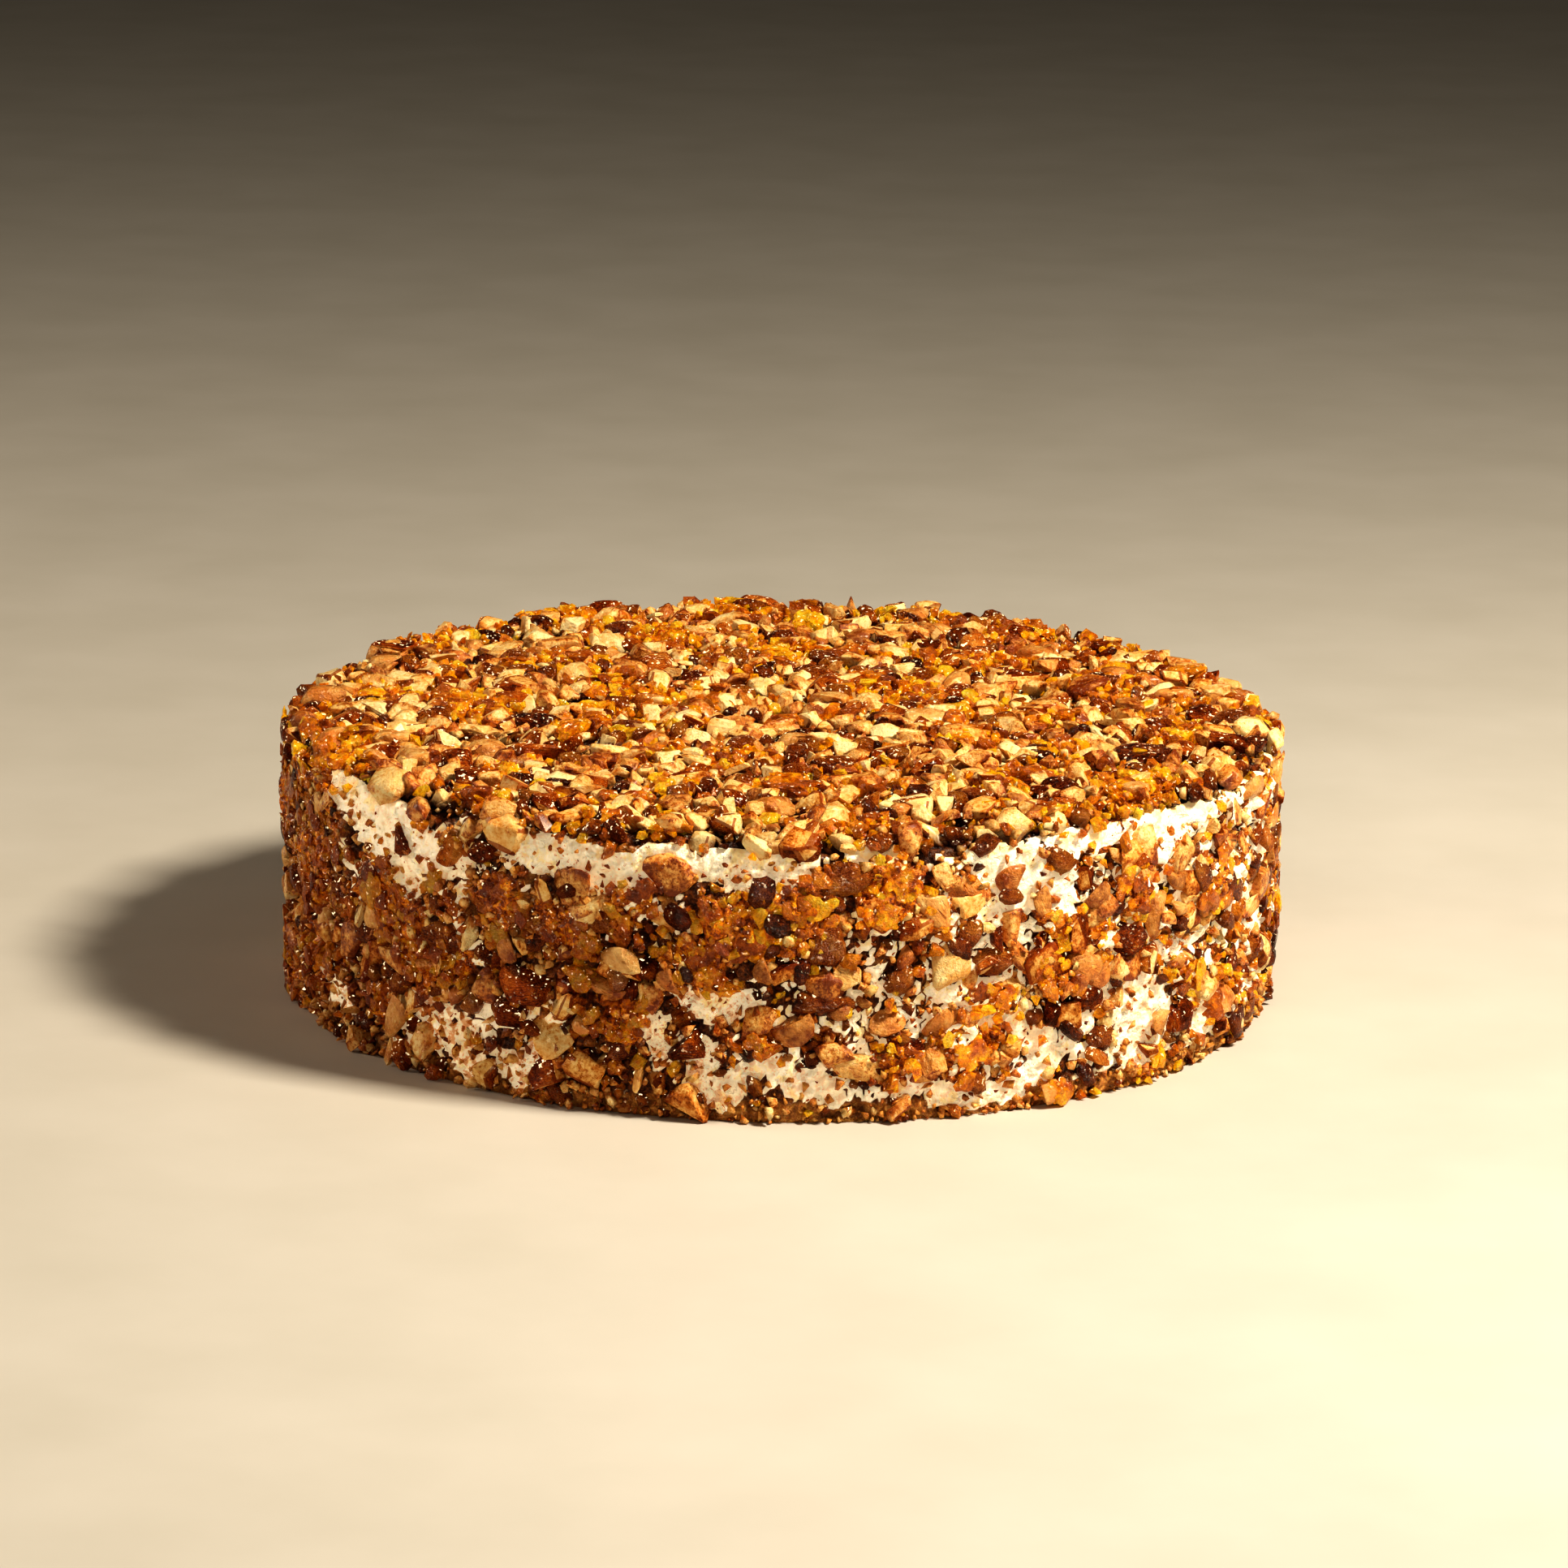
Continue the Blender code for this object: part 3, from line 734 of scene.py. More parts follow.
# The draw that gives a placed piece its kind: each lies in the share of the large pieces that its kind takes.
kindDraws = {"pale": 0.18, "skinKernel": 0.31, "skinChunk": 0.47, "candied": 0.68, "peanut": 0.83,
             "clear": 0.91, "browned": 0.97}
# Bare patches as the solid has them: degrees from the front, height, half width and half height.
barePatches = (
    (-50, 0.056, 0.019, 0.0080), (-26, 0.060, 0.018, 0.0050), (-3, 0.061, 0.020, 0.0045),
    (29, 0.059, 0.014, 0.0060), (41, 0.062, 0.010, 0.0050), (54, 0.061, 0.012, 0.0045),
    (47, 0.021, 0.013, 0.0100), (29, 0.013, 0.010, 0.0080), (-7, 0.027, 0.008, 0.0040),
    (-3, 0.011, 0.016, 0.0055), (14, 0.007, 0.015, 0.0030), (-40, 0.010, 0.011, 0.0085),
    (-62, 0.011, 0.010, 0.0050),
)


def turnedProfile(topSteps=24, edgeSteps=12, sideSteps=30):
    rim = creamBody["footRadius"] + creamBody["rimFlare"]
    edge = creamBody["edge"]
    shoulder = creamBody["height"] - edge
    points = [((rim - edge) * i / topSteps, creamBody["height"]) for i in range(topSteps)]
    for i in range(edgeSteps):
        turn = math.pi / 2 * i / edgeSteps
        points.append((rim - edge + edge * math.sin(turn), shoulder + edge * math.cos(turn)))
    for i in range(sideSteps + 1):
        height = shoulder * (1 - i / sideSteps)
        points.append((bodyRadius(height), height))
    return points


profile = turnedProfile()
areaSoFar = [0.0]
for (r0, z0), (r1, z1) in zip(profile, profile[1:]):
    areaSoFar.append(areaSoFar[-1] + (r0 + r1) * math.hypot(r1 - r0, z1 - z0))


def onCake(share, angle):
    # the point and normal at a share of the coated area, 0 in the middle of the top and 1 at the foot
    wanted = share * areaSoFar[-1]
    i = min(max(bisect.bisect_right(areaSoFar, wanted) - 1, 0), len(profile) - 2)
    part = (wanted - areaSoFar[i]) / (areaSoFar[i + 1] - areaSoFar[i])
    (r0, z0), (r1, z1) = profile[i], profile[i + 1]
    radius = math.sqrt(r0 * r0 + (r1 * r1 - r0 * r0) * part) if z0 == z1 else r0 + (r1 - r0) * part
    slope = Vector((z0 - z1, r1 - r0)).normalized()
    out = Vector((math.sin(angle), -math.cos(angle), 0))
    normal = (out * slope.x + Vector((0, 0, slope.y))).normalized()
    return out * radius + Vector((0, 0, z0 + (z1 - z0) * part)), normal


def inBarePatch(point):
    angle = math.degrees(math.atan2(point.x, -point.y))
    deepest = 0.0
    for patchAngle, height, halfWidth, halfHeight in barePatches:
        for turned in (patchAngle, patchAngle + 180):
            away = (angle - turned + 180) % 360 - 180
            across = math.radians(away) * creamBody["footRadius"] / halfWidth
            deepest = max(deepest, 1 - math.hypot(across, (point.z - height) / halfHeight))
    return deepest > largeNuts["clearOfBare"]


def upright(normal):
    return normal.to_track_quat("Z", "Y").to_matrix()


def placedNuts():
    # middle on the body, outward direction, kind, sizes and turn of each large piece that is listed
    pieces = []
    for kind, degrees, height, *sizes in sideNuts:
        angle, height = math.radians(degrees), height / 1000
        out = Vector((math.sin(angle), -math.cos(angle), 0))
        pieces.append((out * bodyRadius(height) + Vector((0, 0, height)), out, kind, *sizes))
    for kind, x, y, *sizes in topNuts:
        pieces.append((Vector((x / 1000, y / 1000, creamBody["height"])), Vector((0, 0, 1)), kind, *sizes))
    return pieces


def placeLargeNuts():
    # one point for each large nut, with its turn, its half sizes and a draw that says its kind
    points, turns, sizes, kinds = [], [], [], []
    placed = placedNuts()
    for point, normal, kind, length, width, thickness, turn in placed:
        facing = upright(normal) @ Euler((0, 0, math.radians(turn))).to_matrix()
        points.append(point + normal * largeNuts["placedStand"] * thickness / 2000)
        turns.extend(facing.to_euler())
        sizes.extend((length / 2000, width / 2000, thickness / 2000))
        kinds.append(kindDraws[kind])
    for index in range(largeNuts["count"]):
        draw = random.Random(largeNuts["seed"] + index)
        stray = draw.uniform(-largeNuts["stray"], largeNuts["stray"])
        share = min(max((index + 0.5 + stray) / largeNuts["count"], 0.0), largeNuts["lastShare"])
        sway = draw.uniform(-largeNuts["sway"], largeNuts["sway"])
        point, normal = onCake(share, index * goldenAngle + sway)
        length = draw.uniform(*largeNuts["length"])
        width = length * draw.uniform(*largeNuts["width"])
        thickness = length * draw.uniform(*largeNuts["thickness"])
        stand = draw.uniform(*largeNuts["stand"]) * thickness / 2
        tilt = largeNuts["tilt"]
        lean = Euler((draw.uniform(-tilt, tilt), draw.uniform(-tilt, tilt), 0))
        spin = Euler((0, 0, draw.uniform(0, 2 * math.pi)))
        crowded = any((point - other[0]).length < largeNuts["room"] * (length + other[3] / 1000) / 2
                      for other in placed)
        if inBarePatch(point) or point.z < largeNuts["lowest"] or crowded:
            continue
        facing = upright(normal) @ lean.to_matrix() @ spin.to_matrix()
        points.append(point + normal * stand)
        turns.extend(facing.to_euler())
        sizes.extend((length / 2, width / 2, thickness / 2))
        kinds.append(draw.random())
    mesh = bpy.data.meshes.new("largeNutPlaces")
    mesh.from_pydata(points, [], [])
    mesh.attributes.new("turn", "FLOAT_VECTOR", "POINT").data.foreach_set("vector", turns)
    mesh.attributes.new("size", "FLOAT_VECTOR", "POINT").data.foreach_set("vector", sizes)
    mesh.attributes.new("draw", "FLOAT", "POINT").data.foreach_set("value", kinds)
    return bpy.data.objects.new("largeNutPlaces", mesh)


# A layer is one even scatter of points. Kinds that share a layer take different points of it.
layers = {
    "big": {"spacing": 0.0078, "density": 80000.0, "seed": 16},
    "middle": {"spacing": 0.0039, "density": 200000.0, "seed": 11},
    "upper": {"spacing": 0.0048, "density": 140000.0, "seed": 14},
    "heap": {"spacing": 0.0026, "density": 500000.0, "seed": 17},
    "small": {"spacing": 0.0022, "density": 600000.0, "seed": 12},
    "filling": {"spacing": 0.0023, "density": 600000.0, "seed": 15},
    "crumb": {"spacing": 0.0014, "density": 1200000.0, "seed": 13},
}


def scatterPieces(web, body, shelf, seed, take, low, high):
    # pieces on the points of a layer whose draw lies between low and high, and where the take allows it
    layer = layers[take["layer"]]
    spread = {"Mesh": body, "Distance Min": layer["spacing"], "Density Max": layer["density"],
              "Seed": layer["seed"]}
    even = {"distribute_method": "POISSON"}
    points = web.add("GeometryNodeDistributePointsOnFaces", even, spread, "Points")
    normal, turn = points.beside("Normal"), points.beside("Rotation")
    seed += layer["seed"] * 7
    drawn = web.between(web.chance(layer["seed"] + 100), low, high)
    wanted = web.both(drawn, web.compare("LESS_THAN", web.chance(seed + 1), likely(web, take["where"])))
    shortest, longest = take["length"]
    length = shortest + (longest - shortest) * web.chance(seed + 2) ** take["power"]
    width = length * web.chance(seed + 3, *take["width"])
    thickness = length * web.chance(seed + 4, *take["thickness"])
    stand = thickness * web.chance(seed + 5, *take["stand"])
    raised = web.move(points, "Offset", web.stretch(normal, stand))
    x, y, z = web.split(web.add("GeometryNodeInputPosition"))
    lifted = web.move(raised, "Position", web.join(x, y, web.most(z, length * 0.4)))
    tilt = take["tilt"]
    own = web.join(web.chance(seed + 6, -tilt, tilt), web.chance(seed + 7, -tilt, tilt),
                   web.chance(seed + 8, 0.0, 2 * math.pi))
    turns = {"Rotation": turn, "Rotate By": web.add("FunctionNodeEulerToRotation", {}, {0: own})}
    turned = web.add("FunctionNodeRotateRotation", {"rotation_space": "LOCAL"}, turns)
    halves = web.join(length * 0.5, width * 0.5, thickness * 0.5)
    return putShapes(web, lifted, shelf, wanted, turned, halves, seed)


def largePieces(web, places, shelf, seed, low, high):
    wanted = web.between(web.named("draw"), low, high)
    turned = web.add("FunctionNodeEulerToRotation", {}, {0: web.named("turn", "FLOAT_VECTOR")})
    return putShapes(web, places, shelf, wanted, turned, web.named("size", "FLOAT_VECTOR"), seed)


def putShapes(web, points, shelf, wanted, turned, halves, seed):
    asked = {"Collection": shelf, "Separate Children": True, "Reset Children": True}
    shapes = web.add("GeometryNodeCollectionInfo", {}, asked)
    numbers = {"Min": 0, "Max": 9999, "Seed": seed}
    number = web.add("FunctionNodeRandomValue", {"data_type": "INT"}, numbers, "Value")
    pieces = web.add("GeometryNodeInstanceOnPoints", {}, {
        "Points": points, "Selection": wanted, "Instance": shapes, "Pick Instance": True,
        "Instance Index": number, "Rotation": turned, "Scale": halves})
    toned = web.store(pieces, "tone", web.chance(seed + 9), "INSTANCE")
    return web.add("GeometryNodeRealizeInstances", {}, {"Geometry": toned})


def insideReach(web, pieces):
    # nothing stands out past the frame's own reach, its top or its foot
    reach = web.take("Reach", "Float", min(cakeHigh.x, cakeHigh.y, -cakeLow.x, -cakeLow.y) - 0.0008)
    top = web.take("Top", "Float", cakeHigh.z)
    x, y, z = web.split(web.add("GeometryNodeInputPosition"))
    away = web.root(x * x + y * y)
    shrink = (web.least(away, reach) + web.most(away - reach, 0.0) * 0.3) / away
    lowered = web.least(z, top) + web.most(z - top, 0.0) * 0.3
    level = web.most(lowered, 0.0002)
    return web.move(pieces, "Position", web.join(x * shrink, y * shrink, level))


def growKind(kind, body, largeNutPlaces):
    name, seed = kind["name"], kind["seed"]
    web = newTree(name)
    grownOn = web.shapeOf(web.take("Cream body", "Object", body))
    places = web.shapeOf(web.take("Large nuts", "Object", largeNutPlaces))
    parts = []
    for number, (take, form, low, high) in enumerate(kind["takes"]):
        shapes = makeShelf(f"{name}{number}", form, seed + number)
        shelf = web.take(f"Shapes {number}", "Collection", shapes)
        if take is largeNuts:
            parts.append(largePieces(web, places, shelf, seed, low, high))
        else:
            parts.append(scatterPieces(web, grownOn, shelf, seed, take, low, high))
    finish = kind["look"]["make"](kind["look"])
    piece = growMesh(name, web, insideReach(web, web.gather(parts)), finish)
    print(name, countTriangles(piece), "triangles")
    return piece


def newFinish(name, roughness):
    material = bpy.data.materials.new(name)
    material.use_nodes = True
    shader = material.node_tree.nodes["Principled BSDF"]
    shader.inputs["Roughness"].default_value = roughness
    return material, Web(material.node_tree), shader


def dress(web, shader, sockets):
    # a link or a fixed value for each of the shader's own sockets
    for name, value in sockets.items():
        web.feed(shader.inputs[name], value)


def onObject(web):
    return web.add("ShaderNodeTexCoord", {}, {}, "Object")


def attribute(web, name, output="Fac"):
    return web.add("ShaderNodeAttribute", {"attribute_name": name}, {}, output)


def ramp(web, value, stops):
    return web.add("ShaderNodeValToRGB", {"stops": stops}, {"Fac": value}, "Color")


def bump(web, height, depth):
    return web.add("ShaderNodeBump", {}, {"Height": height, "Distance": depth, "Strength": 1.0}, "Normal")


def paintedGlints(web, place, amount, rare=0.665):
    # painted glints: tiny bright spots of emitted colour that stand in for a lamp's highlights on wet sugar,
    # more on what faces up
    facing = web.ease(web.split(web.add("ShaderNodeTexCoord", {}, {}, "Normal"))[2], -0.3, 0.6)
    spot = web.ease(web.cloud(place, 0.0010, 1.0, 0.5), rare, rare + 0.045) * facing * amount
    return web.join(spot, spot * 0.82, spot * 0.5)


def onBase(web, place):
    # 1 on the flat face that the cake stands on
    return web.ease(web.split(place)[2], 0.0010, 0.0003)


def paintedGapShade(web, place, colour):
    # painted shade: what lies under the coat's surface is darkened, as little light gets in between the
    # pieces
    x, y, z = web.split(place)
    flare = creamBody["rimFlare"] * web.ease(z, creamBody["flareFrom"], creamBody["flareTo"])
    out = web.root(x * x + y * y) - creamBody["footRadius"] - flare
    above = web.most(out, z - creamBody["height"])
    shade = web.ease(above, 0.0015, -0.0026, 0.0, 0.95) * (1 - onBase(web, place))
    return web.blend(shade, colour, paint(90, 48, 21), "MULTIPLY")


def nutFlesh(web, place, look, own, tone, mottle, toast):
    # browner at its corners, under sugar dust, and on the cake's side more than on its top
    corners = web.ease(web.add("ShaderNodeVectorMath", {"operation": "LENGTH"}, {0: own}, "Value"), 0.85, 1.4)
    dust = web.ease(web.cloud(place, 0.0008, 3.0, 0.65), 0.53, 0.62)
    lowDown = web.ease(web.split(place)[2], 0.064, 0.056)
    browner = corners * look["toasted"] + dust * look["dust"] + lowDown * 0.17
    return ramp(web, tone * 0.55 + (mottle - 0.5) * 1.2 + (toast - 0.5) * 0.8 + 0.36 - browner, look["flesh"])


def nutFinish(look):
    material, web, shader = newFinish(look["name"], look["roughness"])
    tone = attribute(web, "tone")
    own = attribute(web, "own", "Vector")
    place = onObject(web)
    mottle = web.cloud(place, 0.0012, 4.0, 0.65)
    toast = web.cloud(place, 0.0045, 2.0, 0.5)
    fine = web.cloud(place, 0.00045, 2.0, 0.6)
    flesh = nutFlesh(web, place, look, own, tone, mottle, toast)
    # the husk's grooves run along the piece, and patches of it have worn off
    along = web.vectors("MULTIPLY", own, look["groove"])
    shifted = web.vectors("ADD", along, web.join(tone * 37, tone * 11, 0.0))
    groove = web.cloud(shifted, 0.42, 3.0, 0.6)
    streaks = (groove - 0.5) * look["streaks"] + (mottle - 0.5) * 0.8
    husk = ramp(web, tone * 0.6 + streaks + (toast - 0.5) * 1.3 + 0.12, look["husk"])
    worn = web.ease(web.cloud(shifted, 0.9, 2.0), look["worn"], look["worn"] + 0.06)
    skin = attribute(web, "skin") * (1 - worn)
    edged = web.blend(attribute(web, "rim") * look["rim"], web.blend(skin, flesh, husk), look["husk"][1][1])
    # patches where syrup has run over the coat
    syrup = web.ease(web.cloud(place, 0.012, 3.0, 0.6), 0.45, 0.60) * look["syrup"]
    coated = web.blend(syrup, edged, paint(255, 206, 128), "MULTIPLY")
    relief = (mottle + fine * 0.4) * (1 + skin * look["skinRelief"]) + skin * groove * look["skinRelief"]
    dress(web, shader, {
        "Base Color": paintedGapShade(web, place, coated),
        "Roughness": look["roughness"] + (mottle - 0.5) * 0.5 - syrup * 0.16,
        "Coat Weight": look["coat"] + syrup * 0.4 + skin * look["skinCoat"],
        "Coat Roughness": 0.14,
        "Normal": bump(web, relief, look["relief"]),
        # painted glints, stronger where there is skin
        "Emission Color": paintedGlints(web, place, (skin * 0.9 + 0.1) * look["paintedGlints"], look["rare"]),
        "Emission Strength": 1.0,
        "Specular IOR Level": look["shine"],
        "Subsurface Weight": look["glow"],
        "Subsurface Radius": (1.0, 0.55, 0.25),
        "Subsurface Scale": 0.0012,
    })
    return material


paleFlesh = shades((0.0, 134, 62, 14), (0.24, 204, 130, 54), (0.48, 238, 190, 114), (0.82, 253, 230, 174))
darkHusk = shades((0.0, 70, 22, 2), (0.3, 142, 60, 8), (0.6, 206, 112, 28), (1.0, 242, 168, 80))
peanutHusk = shades((0.0, 142, 74, 24), (0.4, 214, 150, 78), (1.0, 248, 210, 142))
crustBrown = shades((0.0, 68, 22, 2), (0.25, 134, 56, 9), (0.55, 184, 98, 25), (1.0, 228, 154, 62))
crumbTan = shades((0.0, 132, 64, 14), (0.3, 196, 122, 42), (0.65, 236, 174, 86), (1.0, 252, 216, 142))

nutSliver = {
    "make": nutFinish,
    "name": "nut sliver",
    "roughness": 0.34,
    "shine": 0.4,
    "coat": 0.0,             # wet sugar over all of it, and more where it has skin
    "skinCoat": 0.0,
    "glow": 0.1,             # light that comes through the flesh
    "relief": 0.0003,
    "skinRelief": 0.3,       # how much rougher its skin is
    "flesh": paleFlesh,
    "husk": paleFlesh,
    "groove": (1.0, 5.0, 2.0),
    "streaks": 0.3,
    "worn": 0.6,             # skin has gone where the noise is over this
    "rim": 0.0,              # a dark line where the skin breaks off
    "syrup": 0.4,
    "toasted": 0.4,
    "dust": 0.2,
    # the strength of the painted glints, spots of emitted colour that stand in for highlights
    "paintedGlints": 0.2,
    "rare": 0.665,           # glints show where the noise is over this
}
peeledNut = {
    **nutSliver, "name": "peeled nut", "roughness": 0.32, "relief": 0.0005, "groove": (1.2, 4.0, 4.0),
    "syrup": 0.5, "toasted": 0.45, "dust": 0.26, "shine": 0.45, "paintedGlints": 0.3}
skinNut = {
    **nutSliver, "name": "nut in its skin", "roughness": 0.3, "glow": 0.0, "skinRelief": 2.0,
    "husk": darkHusk, "groove": (1.0, 7.0, 7.0), "worn": 0.64, "rim": 0.8, "toasted": 0.25,
    "streaks": 1.3, "shine": 0.12, "paintedGlints": 1.3, "rare": 0.64}
candiedNut = {
    **nutSliver, "name": "candied nut", "roughness": 0.22, "coat": 0.04, "glow": 0.0, "relief": 0.0012,
    "skinRelief": 1.2, "flesh": crustBrown, "husk": crustBrown, "groove": (3.0, 4.0, 4.0), "worn": 0.9,
    "syrup": 0.3, "toasted": 0.0, "streaks": 1.3, "dust": 0.1, "paintedGlints": 1.1, "rare": 0.645}
peanut = {
    **nutSliver, "name": "roasted peanut", "roughness": 0.28, "relief": 0.0004, "skinRelief": 0.4,
    "husk": peanutHusk, "groove": (1.0, 2.5, 2.5), "syrup": 0.5, "rim": 0.7, "toasted": 0.3, "skinCoat": 0.1,
    "shine": 0.35}
nutCrumb = {
    **nutSliver, "name": "nut crumb", "roughness": 0.40, "coat": 0.05, "glow": 0.0, "skinRelief": 0.0,
    "flesh": crumbTan, "husk": crumbTan, "groove": (1.0, 2.0, 2.0), "syrup": 0.6, "toasted": 0.0,
    "streaks": 0.5, "shine": 0.5, "paintedGlints": 0.5}
skinFleck = {
    **nutCrumb, "name": "skin fleck", "roughness": 0.5, "coat": 0.1, "flesh": crustBrown, "husk": crustBrown,
    "syrup": 0.0, "dust": 0.0, "shine": 0.35, "paintedGlints": 0.0}


def caramelFinish(look):
    material, web, shader = newFinish(look["name"], look["roughness"])
    tone = attribute(web, "tone")
    place = onObject(web)
    patchy = web.cloud(place, 0.0035, 2.0)
    flecked = web.cloud(place, 0.0013, 3.0, 0.7)
    crackle = web.cloud(place, 0.0006, 3.0, 0.7)
    colour = ramp(web, tone * 0.6 + (patchy - 0.5) * 1.2 + (flecked - 0.5) * 1.3 + 0.18, look["colours"])
    # painted shade: the caramel is darker and browner on the left of the cake below the rim, the side away
    # from the key lamp, and its painted glow is weaker there
    x, y, z = web.split(place)
    leftShade = web.ease(x, 0.04, -0.06) * web.ease(z, 0.064, 0.058)
    leftShadedColour = web.blend(leftShade * 0.6, colour, paint(176, 116, 50), "MULTIPLY")
    # painted glow: streaks of emitted colour stand in for light that has come through clear caramel, and
    # painted glints are added to it
    lit = web.ease(web.cloud(place, 0.0018, 3.0, 0.65, 0.8), 0.44, 0.62, 0.2, 1.5)
    inside = web.stretch(leftShadedColour, lit * look["glow"] * (1 - leftShade * 0.45))
    dress(web, shader, {
        "Base Color": paintedGapShade(web, place, leftShadedColour),
        "Roughness": look["roughness"] + (crackle - 0.5) * 0.3,
        "Normal": bump(web, crackle * 0.6 + flecked + patchy * 0.4, 0.0010),
        "Emission Color": web.vectors("ADD", inside, paintedGlints(web, place, 0.9)),
        "Emission Strength": 1.0,
        "Transmission Weight": look["clear"],
        "IOR": 1.5,
        "Specular IOR Level": 0.5,
        "Coat Weight": 0.06,
        "Coat Roughness": 0.06,
    })
    return material


clearCaramel = {
    "make": caramelFinish,
    "name": "clear caramel",
    "colours": shades((0.0, 190, 92, 2), (0.3, 238, 146, 4), (0.6, 255, 190, 14), (1.0, 255, 224, 70)),
    "clear": 0.45,
    "roughness": 0.12,
    # strength of the painted inner glow
    "glow": 0.17,
}
brownedCaramel = {
    "make": caramelFinish,
    "name": "browned caramel",
    "colours": shades((0.0, 124, 50, 2), (0.5, 184, 96, 5), (1.0, 232, 150, 20)),
    "clear": 0.1,
    "roughness": 0.18,
    # strength of the painted inner glow
    "glow": 0.14,
}


creamColours = {
    "cream": shades((0.3, 252, 237, 208), (0.6, 255, 247, 229)),
    # crumb between the pieces; its near-black end is painted shade in the deep gaps
    "crumbAndShade": shades((0.25, 34, 12, 2), (0.45, 90, 40, 8), (0.6, 158, 88, 28), (0.8, 226, 162, 78)),
    "seeped": shades((0.32, 62, 20, 1), (0.46, 150, 66, 2), (0.56, 226, 132, 6), (0.70, 255, 200, 40)),
    "golden": shades((0.3, 140, 78, 22), (0.5, 200, 132, 52), (0.7, 244, 192, 104)),
    "syrup": paint(255, 222, 150),
    "blotch": paint(206, 136, 66),
    "speck": paint(176, 100, 40),
}


def bareCream(web, place):
    # white, with syrup that has run down from the rim, blotches and specks of crumb
    cream = ramp(web, web.cloud(place, 0.010, 3.0), creamColours["cream"])
    rim = web.ease(web.split(place)[2], 0.0595, 0.0650) * 0.08
    stained = web.ease(web.cloud(place, 0.0050, 4.0, 0.65) + rim, 0.52, 0.66)
    blotched = web.ease(web.cloud(place, 0.0024, 3.0, 0.6), 0.50, 0.60) * attribute(web, "dusted")
    drifts = (web.cloud(place, 0.014, 2.0) - 0.5) * 0.3
    specks = web.ease(web.cloud(place, 0.0010, 3.0, 0.7) + drifts, 0.62, 0.67)
    syrupy = web.blend(stained * 0.7, cream, creamColours["syrup"])
    tinted = web.blend(blotched * 0.8, syrupy, creamColours["blotch"])
    return web.blend(specks * 0.6, tinted, creamColours["speck"])


def coveredCream(web, place, caramel, base):
    # what shows deep between the pieces: crumb whose darkest end is painted shade, seeped caramel, and plain
    # sponge on the base, then darkened by painted shade under the coat's surface
    crumbAndShade = ramp(web, web.cloud(place, 0.0014, 4.0, 0.7), creamColours["crumbAndShade"])
    seeped = ramp(web, web.cloud(place, 0.0022, 4.0, 0.7), creamColours["seeped"])
    golden = ramp(web, web.cloud(place, 0.0013, 4.0, 0.7), creamColours["golden"])
    dry = web.blend(web.most(web.ease(attribute(web, "fine"), 0.3, 0.8), base), crumbAndShade, golden)
    return paintedGapShade(web, place, web.blend(web.ease(caramel, 0.2, 0.7), dry, seeped))


def creamFinish():
    material, web, shader = newFinish("whipped cream", 0.5)
    place = onObject(web)
    base = onBase(web, place)
    caramel = attribute(web, "caramel") * (1 - base)
    covered = web.ease(web.cloud(place, 0.0030, 3.0, 0.6) - attribute(web, "white") * 1.2, 0.20, 0.34)
    colour = web.blend(covered, bareCream(web, place), coveredCream(web, place, caramel, base))
    # painted glow: emitted colour stands in for light scattered inside the cream and the seeped caramel
    spread = (1 - covered) * 0.22 + covered * caramel * 0.08
    inside = web.blend(1.0, colour, web.join(spread, spread * 0.86, spread * 0.66), "MULTIPLY")
    fizz = web.cloud(place, 0.0009, 3.0, 0.6)
    pits = web.ease(web.cloud(place, 0.0024, 3.0, 0.6), 0.40, 0.30)
    lumps = web.cloud(place, 0.0042, 2.0, 0.45, 0.6)
    dress(web, shader, {
        "Base Color": colour,
        "Roughness": 0.50 - covered * (0.14 + 0.24 * caramel) + (fizz - 0.5) * 0.2,
        "Normal": bump(web, fizz * (0.3 + 0.5 * covered) + lumps * 1.5 - pits * 0.4, 0.0013),
        "Emission Color": web.vectors("ADD", inside, paintedGlints(web, place, covered * caramel * 0.8)),
        "Emission Strength": 1.0,
        "Specular IOR Level": 0.6,
        "Subsurface Weight": 0.25,
        "Subsurface Radius": (1.0, 0.75, 0.5),
        "Subsurface Scale": 0.0010,
    })
    return material


# Where a piece is likely to lie, from the fields on the body: each one's factor where the field is 0, and
# what the factor gains where it is 1.
nutty = (("caramel", 1, -0.85), ("fine", 1, -0.6), ("foot", 1, -0.8), ("bare", 1, -1))
paleNuts = (*nutty, ("onTop", 0.55, 0.45))
nutBits = (("white", 1, -0.92), ("caramel", 1, -0.8), ("fine", 1, -0.3))
piledNuts = (("onTop", 0, 1), ("caramel", 1, -0.85))
inCaramel = (("white", 1, -0.9), ("caramel", 0.26, 0.44), ("fine", 1, -0.5))
caramelHeap = (("white", 1, -0.8), ("caramel", 0, 1))
piledCaramel = (("onTop", 0, 1), ("caramel", 0.45, 0.55))
inCrumb = (("white", 1, -0.85), ("fine", 0.28, 0.72))
bedded = (("dusted", 0, 0.75),)
onCream = (("white", 0.02, 0.6),)


def likely(web, where):
    return math.prod(start + web.named(field) * gain for field, start, gain in where)


